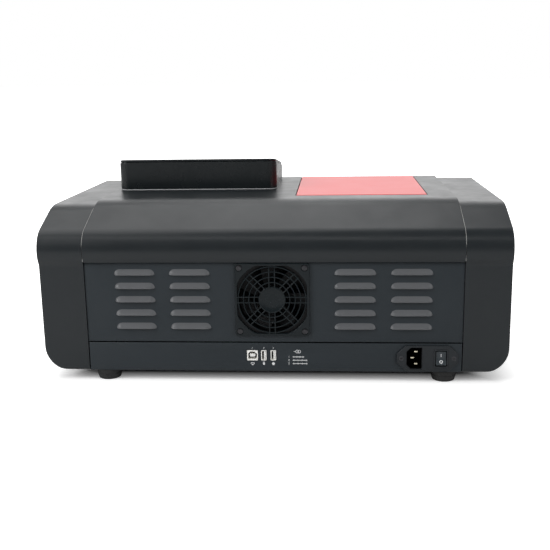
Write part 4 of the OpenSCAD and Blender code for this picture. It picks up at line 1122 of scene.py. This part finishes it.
def screw_head(radius, tall, cross, sunk=False):
    """A cross-recessed head standing on y = 0 and facing +Y."""
    if sunk:
        profile = [(0.01, -1.0), (radius * 0.5, -1.0), (radius, tall - 0.15), (radius * 0.97, tall),
                (0.01, tall)]
    else:
        profile = [(0.01, 0), (radius, 0), (radius, tall * 0.45), (radius * 0.93, tall * 0.75),
                   (radius * 0.7, tall * 0.95), (0.01, tall)]
    head = turned("head", profile, "y", (0, 0, 0), 32)
    arm = radius * 0.58
    for wide, high_ in ((arm, cross), (cross, arm)):
        cut(head, block("cross", (-wide, wide), (tall - 0.75, tall + 1), (-high_, high_)))
    return smooth(head, 34)


def threaded(radius, start, stop, pitch=0.7):
    """A screw's shank, with its thread drawn as a saw-edged profile."""
    profile = [(0.01, start)]
    y = start
    while y + pitch < stop:
        profile += [(radius - 0.25, y), (radius, y + pitch / 2)]
        y += pitch
    profile += [(radius - 0.25, stop), (0.01, stop)]
    return smooth(turned("shank", profile, "y", (0, 0, 0), 16), 30)


def make_fan_screws():
    head_low = PANEL_OUT + 0.95
    length = head_low - low("fan_screws").y
    unit = joined("fan_screw", [screw_head(3.2, 1.5, 0.55), threaded(1.9, -length, 0.2)])
    heads = repeat_grid("fan_screw_heads", unit, BLACK_ZINC, 2, 2, FAN_PITCH, FAN_PITCH, (FAN.x, head_low,
            FAN.z))
    done(smooth(heads, 34), CABINET, BLACK_ZINC, "zinc_steel", "fan_screws")


def fan_blade(inner, outer, start_y, deep, sweep):
    """One blade as a twisted, cambered sheet that reaches from the hub to the tip circle."""
    bm = bmesh.new()
    rows = []
    across, along = 10, 12
    for i in range(along + 1):
        s = i / along
        radius = inner + (outer - inner) * s
        row = []
        for j in range(across + 1):
            t = j / across
            wide = 40 + 8 * s
            turn = math.radians(90 + sweep * s + (t - 0.5) * wide)
            camber = 0.12 * deep * math.sin(math.pi * t)
            y = start_y + deep * (1 - t) * (0.92 - 0.18 * s) + camber + 0.06 * deep * s
            row.append(bm.verts.new(Vector((radius * math.cos(turn), y, radius * math.sin(turn))) * MM))
        rows.append(row)
    for a, b in zip(rows, rows[1:]):
        for j in range(across):
            bm.faces.new((a[j], a[j + 1], b[j + 1], b[j]))
    blade = from_bmesh("blade", bm)
    sheet = blade.modifiers.new("sheet", "SOLIDIFY")
    sheet.thickness = 1.3 * MM
    sheet.offset = 0
    settle(blade)
    bm = bmesh.new()
    bm.from_mesh(blade.data)
    bmesh.ops.recalc_face_normals(bm, faces=bm.faces)
    bm.to_mesh(blade.data)
    bm.free()
    return smooth(blade, 50)


def make_fan_rotor():
    lo, hi = low("fan_rotor"), high("fan_rotor")
    hub = 15.0
    tip = FAN_BORE - 1.2
    back = hi.y
    front = hi.y - 19.0
    profile = [(0.01, front), (hub - 0.4, front), (hub, front + 0.4), (hub, back - 1.6), (hub - 0.6,
            back - 0.4),
               (hub - 1.6, back), (5, back), (4.4, back - 0.5), (0.01, back - 0.5)]
    barrel = turned("fan_hub", profile, "y", (FAN.x, 0, FAN.z), 64)
    shaft = turned("shaft", [(0.01, lo.y), (2.4, lo.y), (2.5, front + 1), (0.01, front + 1)], "y",
                   (FAN.x, 0, FAN.z), 24)
    done(smooth(joined("fan_hub", [barrel, shaft]), 34), "fan", FAN_BLACK_PAINTED_SHADE, "black_plastic", "fan_rotor")
    blade = fan_blade(hub - 0.6, tip, front + 1.0, back - front - 2.5, 16)
    blades = repeat_ring("fan_blades", blade, FAN_BLACK_PAINTED_SHADE, 7, "y", (FAN.x, 0, FAN.z), 12)
    done(smooth(blades, 50), "fan", FAN_BLACK_PAINTED_SHADE, "black_plastic")


# ---------------------------------------------------------------- mains inlet

INLET_FACE = TRAY_Y + 2.2
ROCKER = joint_place("rocker_tip")
ROCKER_HALF_W = 5.7
ROCKER_HALF_H = 8.5
SOCKET = (INLET_MID.x + 14.4, INLET_MID.z)


def flange_line(grow):
    half_w, half_h, body = 33.5 + grow, 14.5 + grow, 23.5
    points = [(half_w, -half_h / 3), (half_w, half_h / 3), (body, half_h), (-body, half_h),
              (-half_w, half_h / 3), (-half_w, -half_h / 3), (-body, -half_h), (body, -half_h)]
    radii = [3.0, 3.0, 1.5, 1.5, 3.0, 3.0, 1.5, 1.5]
    return rounded([(INLET_MID.x + u, INLET_MID.z + v, r) for (u, v), r in zip(points, radii)])


def socket_line(grow):
    w, h, chamfer = 8.3 + grow, 12.1 + grow, 4.5 + grow * 0.4
    points = [(-w, -h, 0.8), (w - chamfer, -h, 1.2), (w, -h + chamfer, 1.2), (w, h - chamfer, 1.2),
              (w - chamfer, h, 1.2), (-w, h, 0.8)]
    return rounded([(SOCKET[0] + u, SOCKET[1] + v, r) for u, v, r in points])


def make_inlet():
    flange = prism("inlet_moulding", flange_line(0), "y", TRAY_Y, INLET_FACE)
    soften(flange, 0.5, 3)
    body = block("body", (INLET_MID.x - 23.4, INLET_MID.x + 23.4), (TRAY_Y - 28, TRAY_Y + 0.5),
                 (INLET_MID.z - 13.2, INLET_MID.z + 13.2))
    combine(flange, soften(body, 0.8, 3), "UNION")
    cut(flange, prism("recess", socket_line(0), "y", INLET_FACE - 17, INLET_FACE + 2))
    lead_in = prism("lead_in", socket_line(0.9), "y", INLET_FACE - 0.55, INLET_FACE + 2)
    cut(flange, lead_in)
    seat = [(ROCKER.x + u, ROCKER.z + v) for u, v in box_line(2 * ROCKER_HALF_W + 0.8,
            2 * ROCKER_HALF_H + 0.8, 0.8)]
    cut(flange, prism("seat", seat, "y", INLET_FACE - 12, INLET_FACE + 2))
    rim = [(ROCKER.x + u, ROCKER.z + v) for u, v in box_line(2 * ROCKER_HALF_W + 4.2,
            2 * ROCKER_HALF_H + 4.4, 1.5)]
    rim_in = [(ROCKER.x + u, ROCKER.z + v) for u, v in box_line(2 * ROCKER_HALF_W + 1.0,
            2 * ROCKER_HALF_H + 1.0, 0.9)]
    frame_bar = prism("rocker_frame", rim, "y", INLET_FACE - 0.5, INLET_FACE + 0.7)
    cut(frame_bar, prism("inside", rim_in, "y", INLET_FACE - 2, INLET_FACE + 2))
    soften(frame_bar, 0.3, 3)
    holes = []
    for side in (-1, 1):
        spot = (INLET_MID.x + side * 28.5, 0, INLET_MID.z)
        holes.append(turned("hole", [(0.01, TRAY_Y - 1), (1.6, TRAY_Y - 1), (1.6, TRAY_Y + 0.7),
                                     (2.9, INLET_FACE + 0.02), (2.9, INLET_FACE + 2), (0.01, INLET_FACE + 2)],
                            "y", spot, 32))
    cut(flange, *holes)
    piece = joined("inlet_moulding", [flange, frame_bar])
    done(smooth(piece, 34), CABINET, INLET_BLACK, "black_plastic", "power_inlet")

    # A thin liner in the socket recess, in painted shade, to darken its inside.
    liner = prism("inlet_throat", socket_line(-0.01), "y", INLET_FACE - 16.95, INLET_FACE - 1.0)
    cut(liner, prism("inside", socket_line(-0.3), "y", INLET_FACE - 16.6, INLET_FACE + 1))
    done(smooth(liner, 34), CABINET, THROAT_PAINTED_SHADE, "black_plastic")

    heads = repeat_grid("inlet_screw_heads", screw_head(2.7, 0.1, 0.4, True), BLACK_ZINC, 2, 1, 57.0, 1.0,
                        (INLET_MID.x, INLET_FACE - 0.35, INLET_MID.z))
    done(smooth(heads, 34), CABINET, BLACK_ZINC, "zinc_steel", "inlet_screws")


def make_inlet_pins():
    """Three blades with chamfered tips, plated."""
    lo, hi = low("inlet_pins"), high("inlet_pins")
    blades = []
    for dx, dz in ((-2, -7), (-2, 7), (2, 0)):
        x, z = SOCKET[0] + dx, SOCKET[1] + dz
        blade = block("blade", (x - 2, x + 2), (lo.y, hi.y), (z - 1, z + 1))
        blades.append(soften(blade, 0.55, 3))
    done(smooth(joined("inlet_blades", blades), 34), CABINET, GOLD, "brass_parts", "inlet_pins")


def make_rocker():
    """A two-sided rocker, dished along its face, with its marks printed on it."""
    dish = 2.4
    rise = ROCKER_HALF_H * math.tan(math.radians(12))
    face = []
    for n in range(25):
        v = -ROCKER_HALF_H + 2 * ROCKER_HALF_H * n / 24
        t = abs(v) / ROCKER_HALF_H
        face.append((dish + rise * t ** 1.25, v))
    reach = []
    for u, v in face:
        limit = math.sqrt(max(0.0, ROCKER_HALF_H ** 2 - v * v))
        reach.append((min(u, max(limit, 0.3)) if abs(v) > 7.2 else u, v))
    outline = [(-4.2, -ROCKER_HALF_H + 1.2)] + reach + [(-4.2, ROCKER_HALF_H - 1.2)]
    body = prism("rocker_key", outline, "x", -ROCKER_HALF_W + 0.15, ROCKER_HALF_W - 0.15)
    soften(body, 0.35, 3, 35)
    lean = Matrix.Rotation(math.radians(9), 4, "X")
    place = Matrix.Translation(ROCKER * MM) @ lean
    body.data.transform(place)
    smooth(body, 34)
    done(body, "rocker", ROCKER_BLACK, "black_plastic", "power_rocker")

    marks = []
    upper = [(dish + rise * (abs(v) / ROCKER_HALF_H) ** 1.25, v) for v in (1.6, 4.6)]
    stroke = prism("stroke", [(upper[0][0] + 0.05, upper[0][1]), (upper[1][0] + 0.05, upper[1][1]),
                              (upper[1][0] - 0.3, upper[1][1]), (upper[0][0] - 0.3,
                                      upper[0][1])], "x", -0.38, 0.38)
    marks.append(stroke)
    ring = turned("ring", [(1.15, -0.15), (1.15, 0.15), (1.85, 0.15), (1.85, -0.15), (1.15, -0.15)], "y",
                  (0, 0, 0), 40)
    low_v = -4.0
    tilt = math.atan2(rise * 1.25 * (4.0 / ROCKER_HALF_H) ** 0.25, ROCKER_HALF_H)
    spot = Vector((0, dish + rise * (4.0 / ROCKER_HALF_H) ** 1.25 + 0.02, low_v)) * MM
    ring.data.transform(Matrix.Translation(spot) @ Matrix.Rotation(tilt, 4, "X"))
    marks.append(ring)
    marked = joined("rocker_marks", marks)
    marked.data.transform(place)
    done(smooth(marked, 34), "rocker", INK, "black_plastic")


# ---------------------------------------------------------------- ports and their marks

def port_shell(name, lo, hi, outline_in, deep):
    """A folded metal shell with rounded corners, open towards the rear."""
    width, height = hi.x - lo.x, hi.z - lo.z
    centre = ((lo.x + hi.x) / 2, (lo.z + hi.z) / 2)
    shell = prism(name, box_line(width, height, 0.7, centre), "y", lo.y, hi.y)
    soften(shell, 0.18, 2)
    inner = [(centre[0] + u, centre[1] + v) for u, v in outline_in]
    cut(shell, prism("inside", inner, "y", hi.y - deep, hi.y + 1))
    return smooth(shell, 34)


def make_usb_b():
    lo, hi = USB_B
    centre = ((lo.x + hi.x) / 2, (lo.z + hi.z) / 2)
    w, h = (hi.x - lo.x) / 2 - 1.15, (hi.z - lo.z) / 2 - 1.35
    mouth = rounded([(-w, -h, 0.4), (w, -h, 0.4), (w, h - 2.4, 0.3), (w - 2.2, h, 0.3), (-w + 2.2, h, 0.3),
                     (-w, h - 2.4, 0.3)])
    shell = port_shell("usb_b_shell", lo, hi, mouth, 10)
    done(shell, CABINET, TIN_PAINTED_SHEEN, "zinc_steel", "usb_b_socket")
    block_in = block("tongue", (centre[0] - 2.9, centre[0] + 2.9), (hi.y - 10.5, hi.y - 0.9),
                     (centre[1] - 1.7, centre[1] + 1.7))
    tongue = soften(block_in, 0.35, 3)
    done(smooth(tongue, 34), CABINET, NYLON, "zinc_steel")
    throat = prism("throat", [(centre[0] + u * 0.985, centre[1] + v * 0.985) for u, v in mouth], "y",
                   hi.y - 10.4, hi.y - 9.8)
    done(throat, CABINET, BLACK, "zinc_steel")
    contacts = []
    for dx in (-1.25, 1.25):
        for dz in (-1, 1):
            z = centre[1] + dz * 1.72
            contacts.append(block("contact", (centre[0] + dx - 0.5, centre[0] + dx + 0.5),
                                  (hi.y - 8, hi.y - 1.4), (z - 0.06, z + 0.06)))
    done(joined("usb_b_contacts", contacts), CABINET, GOLD, "zinc_steel")


def make_usb_a():
    shells, tongues, contacts, throats = [], [], [], []
    for lo, hi in usb_a_places():
        centre = ((lo.x + hi.x) / 2, (lo.z + hi.z) / 2)
        w, h = (hi.x - lo.x) / 2 - 0.8, (hi.z - lo.z) / 2 - 0.7
        mouth = box_line(2 * w, 2 * h, 0.35)
        shells.append(port_shell("shell", lo, hi, mouth, 10))
        x = centre[0] - 1.0
        tongue = block("tongue", (x - 0.85, x + 0.85), (hi.y - 10.4, hi.y - 0.7), (centre[1] - 4.6,
                centre[1] + 4.6))
        tongues.append(soften(tongue, 0.25, 2))
        throats.append(block("throat", (centre[0] - w, centre[0] + w), (hi.y - 10.3, hi.y - 9.8),
                             (centre[1] - h, centre[1] + h)))
        for n in range(4):
            z = centre[1] - 3.45 + 2.3 * n
            contacts.append(block("contact", (x + 0.83, x + 0.93), (hi.y - 8.5, hi.y - 1.3), (z - 0.55,
                    z + 0.55)))
    done(joined("usb_a_shells", shells), CABINET, TIN_PAINTED_SHEEN, "zinc_steel", "usb_a_sockets")
    done(smooth(joined("usb_a_tongues", tongues), 34), CABINET, NYLON, "zinc_steel")
    done(joined("usb_a_throats", throats), CABINET, BLACK, "zinc_steel")
    done(joined("usb_a_contacts", contacts), CABINET, GOLD, "zinc_steel")


MARK_Y = TRAY_Y + 0.05
MARK_T = 0.09


def mark_bar(x, z, wide, tall, turn=0.0):
    bar = block("mark", (-wide / 2, wide / 2), (MARK_Y - MARK_T, MARK_Y), (-tall / 2, tall / 2))
    bar.data.transform(Matrix.Translation(Vector((x, 0, z)) * MM) @ Matrix.Rotation(math.radians(turn), 4,
            "Y"))
    return bar


def mark_ring(x, z, outer, inner):
    profile = [(inner, MARK_Y - MARK_T), (outer, MARK_Y - MARK_T), (outer, MARK_Y), (inner, MARK_Y),
               (inner, MARK_Y - MARK_T)]
    return turned("mark", profile, "y", (x, 0, z), 32)


SEGMENTS = {
    1: ((0, 0.5, "v"), (0, -0.5, "v")),
    2: ((0, 1, "h"), (-0.5, 0.5, "v"), (0, 0, "h"), (0.5, -0.5, "v"), (0, -1, "h")),
    3: ((0, 1, "h"), (-0.5, 0.5, "v"), (0, 0, "h"), (-0.5, -0.5, "v"), (0, -1, "h")),
}


def numeral(digit, x, z, tall):
    """A plain numeral drawn in bars. Seen from behind the case, so +X is its left."""
    half = tall / 2
    line = tall * 0.15
    bars = []
    for u, v, kind in SEGMENTS[digit]:
        wide, high_ = (half + line, line) if kind == "h" else (line, half)
        bars.append(mark_bar(x + u * half, z + v * half, wide, high_))
    return bars


def make_marks():
    """Plain numerals over the ports and in a short list, with simple pictures in place of words."""
    marks = []
    above = high("usb_b_socket").z + 2.6
    below = low("usb_b_socket").z - 3.6
    port_x = [(USB_B[0].x + USB_B[1].x) / 2] + [(lo.x + hi.x) / 2 for lo, hi in usb_a_places()[::-1]]
    for n, x in enumerate(port_x):
        marks += numeral(n + 1, x, above, 1.5)
    screen, stick, printer = port_x
    marks += [mark_bar(screen, below + 0.9, 4.0, 0.5), mark_bar(screen, below - 0.9, 2.6, 0.5),
              mark_bar(screen - 1.8, below, 0.5, 1.9), mark_bar(screen + 1.8, below, 0.5, 1.9),
              mark_bar(screen, below - 1.7, 1.4, 0.7)]
    marks += [mark_bar(stick, below - 0.3, 2.0, 2.6), mark_bar(stick, below + 1.6, 1.3, 0.7)]
    marks += [mark_bar(printer, below - 0.3, 3.2, 1.5), mark_bar(printer, below + 1.1, 2.0, 0.7),
              mark_bar(printer, below - 1.5, 1.9, 0.7)]
    list_x = -17.6
    rows = (29.0, 25.1, 21.2)
    for n, z in enumerate(rows):
        marks += numeral(n + 1, list_x, z, 1.9)
    for n, z in enumerate(rows):
        length = (12.6, 16.2, 16.4)[n]
        start = list_x - 4.2
        marks.append(mark_bar(start - length / 2, z + 0.0, length, 0.7))
        for k in range(4):
            marks.append(mark_bar(start - 1.2 - k * (length - 2.4) / 3, z, 0.8, 1.7))
    cx, cz = -26.8, 35.2
    marks += [mark_ring(cx, cz, 1.9, 1.35), mark_ring(cx - 2.2, cz, 1.9, 1.35), mark_bar(cx + 2.9, cz,
            1.8, 0.6)]
    done(joined("port_marks", marks), CABINET, INK, "chassis_paint")


# ---------------------------------------------------------------- compartment and cell changer

def make_knob():
    """A turned knob with a fluted grip and a chamfered face."""
    lo, hi = low("rod_knob"), high("rod_knob")
    rod = middle("pull_rod")
    grip, neck = 10.0, 7.0
    y = lo.y
    profile = [(0.01, y + 0.6), (5.2, y + 0.6), (5.8, y), (grip - 1.4, y), (grip - 0.3, y + 0.9),
               (grip - 0.1, y + 5.9), (grip - 1.2, y + 6.9), (neck + 0.2, y + 7.4), (neck - 0.6, y + 9.5),
               (neck, hi.y - 0.8), (neck - 0.6, hi.y), (0.01, hi.y)]
    knob = turned("rod_knob_shell", profile, "y", (rod.x, 0, rod.z), 72)
    flutes = []
    for n in range(18):
        a = 2 * math.pi * n / 18
        spot = (rod.x + (grip + 0.55) * math.cos(a), 0, rod.z + (grip + 0.55) * math.sin(a))
        flutes.append(turned("flute", [(0.01, y - 1), (1.15, y - 1), (1.15, y + 7.2), (0.01, y + 7.2)],
                "y", spot, 16))
    cut(knob, joined("flutes", flutes))
    done(smooth(knob, 36), "cell_changer", BLACK, "black_plastic", "rod_knob")


# ---------------------------------------------------------------- stage

def make_stage():
    floor = Finish("floor_paper")
    path = floor.node("ShaderNodeLightPath")
    pale = floor.mixed(floor.noise(3, 2), (0.90, 0.90, 0.90), (0.905, 0.905, 0.905))
    floor.colour(pale)
    floor.set(Roughness=0.9)
    floor.set(Specular_IOR_Level=0.0)
    floor.shader.inputs["Emission Color"].default_value = (1, 1, 1, 1)
    parts = floor.node("ShaderNodeSeparateXYZ")
    floor.link(floor.place, parts.inputs[0])
    past = []
    for axis, half in (("X", 0.24), ("Y", 0.20)):
        away = math_node(floor.tree, "ABSOLUTE", parts.outputs[axis])
        past.append(math_node(floor.tree, "SUBTRACT", away, half))
    glow = floor.between(math_node(floor.tree, "MAXIMUM", past[0], past[1]), 0.0, 1.0, -0.02, 0.06)
    floor.link(math_node(floor.tree, "MULTIPLY", path.outputs["Is Camera Ray"], glow),
               floor.shader.inputs["Emission Strength"])
    sheet = new_object("floor", bpy.data.meshes.new("floor"))
    bm = bmesh.new()
    bmesh.ops.create_grid(bm, x_segments=2, y_segments=2, size=60.0)
    bm.to_mesh(sheet.data)
    bm.free()
    sheet.data.materials.append(floor.material)


def soft_lamp(name, place, aim, size, power, colour=(1, 1, 1)):
    data = bpy.data.lights.new(name, "AREA")
    data.shape = "RECTANGLE"
    data.size, data.size_y = size
    data.energy = power
    data.color = colour
    lamp = bpy.data.objects.new(name, data)
    bpy.context.scene.collection.objects.link(lamp)
    lamp.location = place
    lamp.rotation_euler = (Vector(aim) - Vector(place)).to_track_quat("-Z", "Y").to_euler()
    return lamp


def make_lights():
    world = bpy.data.worlds.new("studio")
    bpy.context.scene.world = world
    world.use_nodes = True
    tree = world.node_tree
    background = tree.nodes["Background"]
    background.inputs["Color"].default_value = (1, 1, 1, 1)
    path = tree.nodes.new("ShaderNodeLightPath")
    seen = math_node(tree, "MAXIMUM", path.outputs["Is Camera Ray"], path.outputs["Is Transmission Ray"])
    strength = math_node(tree, "ADD", math_node(tree, "MULTIPLY", seen, 0.8), 0.2)
    tree.links.new(strength, background.inputs["Strength"])
    soft_lamp("overhead", (0.5, -0.7, 2.0), (0, -0.1, 0.1), (2.6, 1.5), 22)
    soft_lamp("far_side", (0.1, -2.6, 1.0), (0, 0, 0.15), (3.6, 1.2), 22)
    soft_lamp("near_fill", (2.1, 1.4, 1.5), (0, 0.1, 0.1), (1.3, 1.3), 44)
    soft_lamp("near_other", (-2.1, 1.4, 1.5), (0, 0.1, 0.1), (1.2, 1.2), 22)
    soft_lamp("strip", (0.4, 1.2, 2.0), (0, 0.2, 0.15), (2.4, 0.3), 6)


def make_camera():
    """A camera behind the instrument, a little to its left side and above it."""
    place = Vector((-69.4, 909.5 + PANEL_OUT, 329.6)) * MM
    yaw, pitch, roll = 0.0722, 0.2239, 0.0170
    ahead = Vector((math.sin(yaw), -math.cos(yaw), 0))
    right = Vector((-math.cos(yaw), -math.sin(yaw), 0))
    down = Vector((0, 0, -1))
    forward = ahead * math.cos(pitch) + down * math.sin(pitch)
    lower = down * math.cos(pitch) - ahead * math.sin(pitch)
    side = right * math.cos(roll) + lower * math.sin(roll)
    base = lower * math.cos(roll) - right * math.sin(roll)
    turn = Matrix((side, -base, -forward)).transposed()
    data = bpy.data.cameras.new("camera")
    data.sensor_width = 36
    data.lens = 56.35
    data.clip_start = 0.01
    camera = bpy.data.objects.new("camera", data)
    bpy.context.scene.collection.objects.link(camera)
    camera.matrix_world = Matrix.Translation(place) @ turn.to_4x4()
    bpy.context.scene.camera = camera


CAD_FINISH = {
    "case_plastic": CASE,
    "housing_plastic": HOUSING,
    "chassis_paint": SLATE,
    "lid_red": RED,
    "black_plastic": BLACK,
    "rubber_black": FOOT_RUBBER,
    "zinc_steel": ZINC,
    "bright_steel": STEEL,
    "brass_parts": BRASS,
    "circuit_board": BOARD,
    "quartz": QUARTZ,
    "black_anodised": ANODISED,
    "cover_glass": SCREEN,
    "bare_aluminium": ALUMINIUM,
    "cast_base": CAST,
    "mirror_coat": MIRROR,
    "painted_steel": GREY_PAINT,
    "motor_black": MOTOR_PAINT,
    "supply_cage": CAGE,
}


OWN_FINISH = {
    "fan_frame": FAN_BLACK_PAINTED_SHADE,
    "sample_tub": LINER,
    "lcd_module": ALUMINIUM,
    "drive_belt": FOOT_RUBBER,
}


def finish_cad_nodes():
    """Every CAD node that stays gets the finish of its slot."""
    slots = {part["node"]: part["material_slot"] for part in frame["record"]["subparts"]}
    for name, piece in frame["nodes"].items():
        finish = OWN_FINISH.get(name, CAD_FINISH[slots[name]])
        piece.data.materials.clear()
        piece.data.materials.append(finish)


def main():
    make_camera()
    make_lights()
    make_stage()
    finish_cad_nodes()
    for make in MAKERS:
        make()


MAKERS = [
    make_top_cover,
    make_cheeks,
    make_seam_highlight_strips,
    make_sample_lid,
    make_lid_grip,
    make_display,
    make_rear_panel,
    make_tray,
    make_front_fascia,
    make_feet,
    make_fan_guard,
    make_fan_screws,
    make_fan_rotor,
    make_inlet,
    make_inlet_pins,
    make_rocker,
    make_usb_b,
    make_usb_a,
    make_marks,
    make_knob,
]

main()
bpy.context.scene.view_settings.view_transform = "Standard"
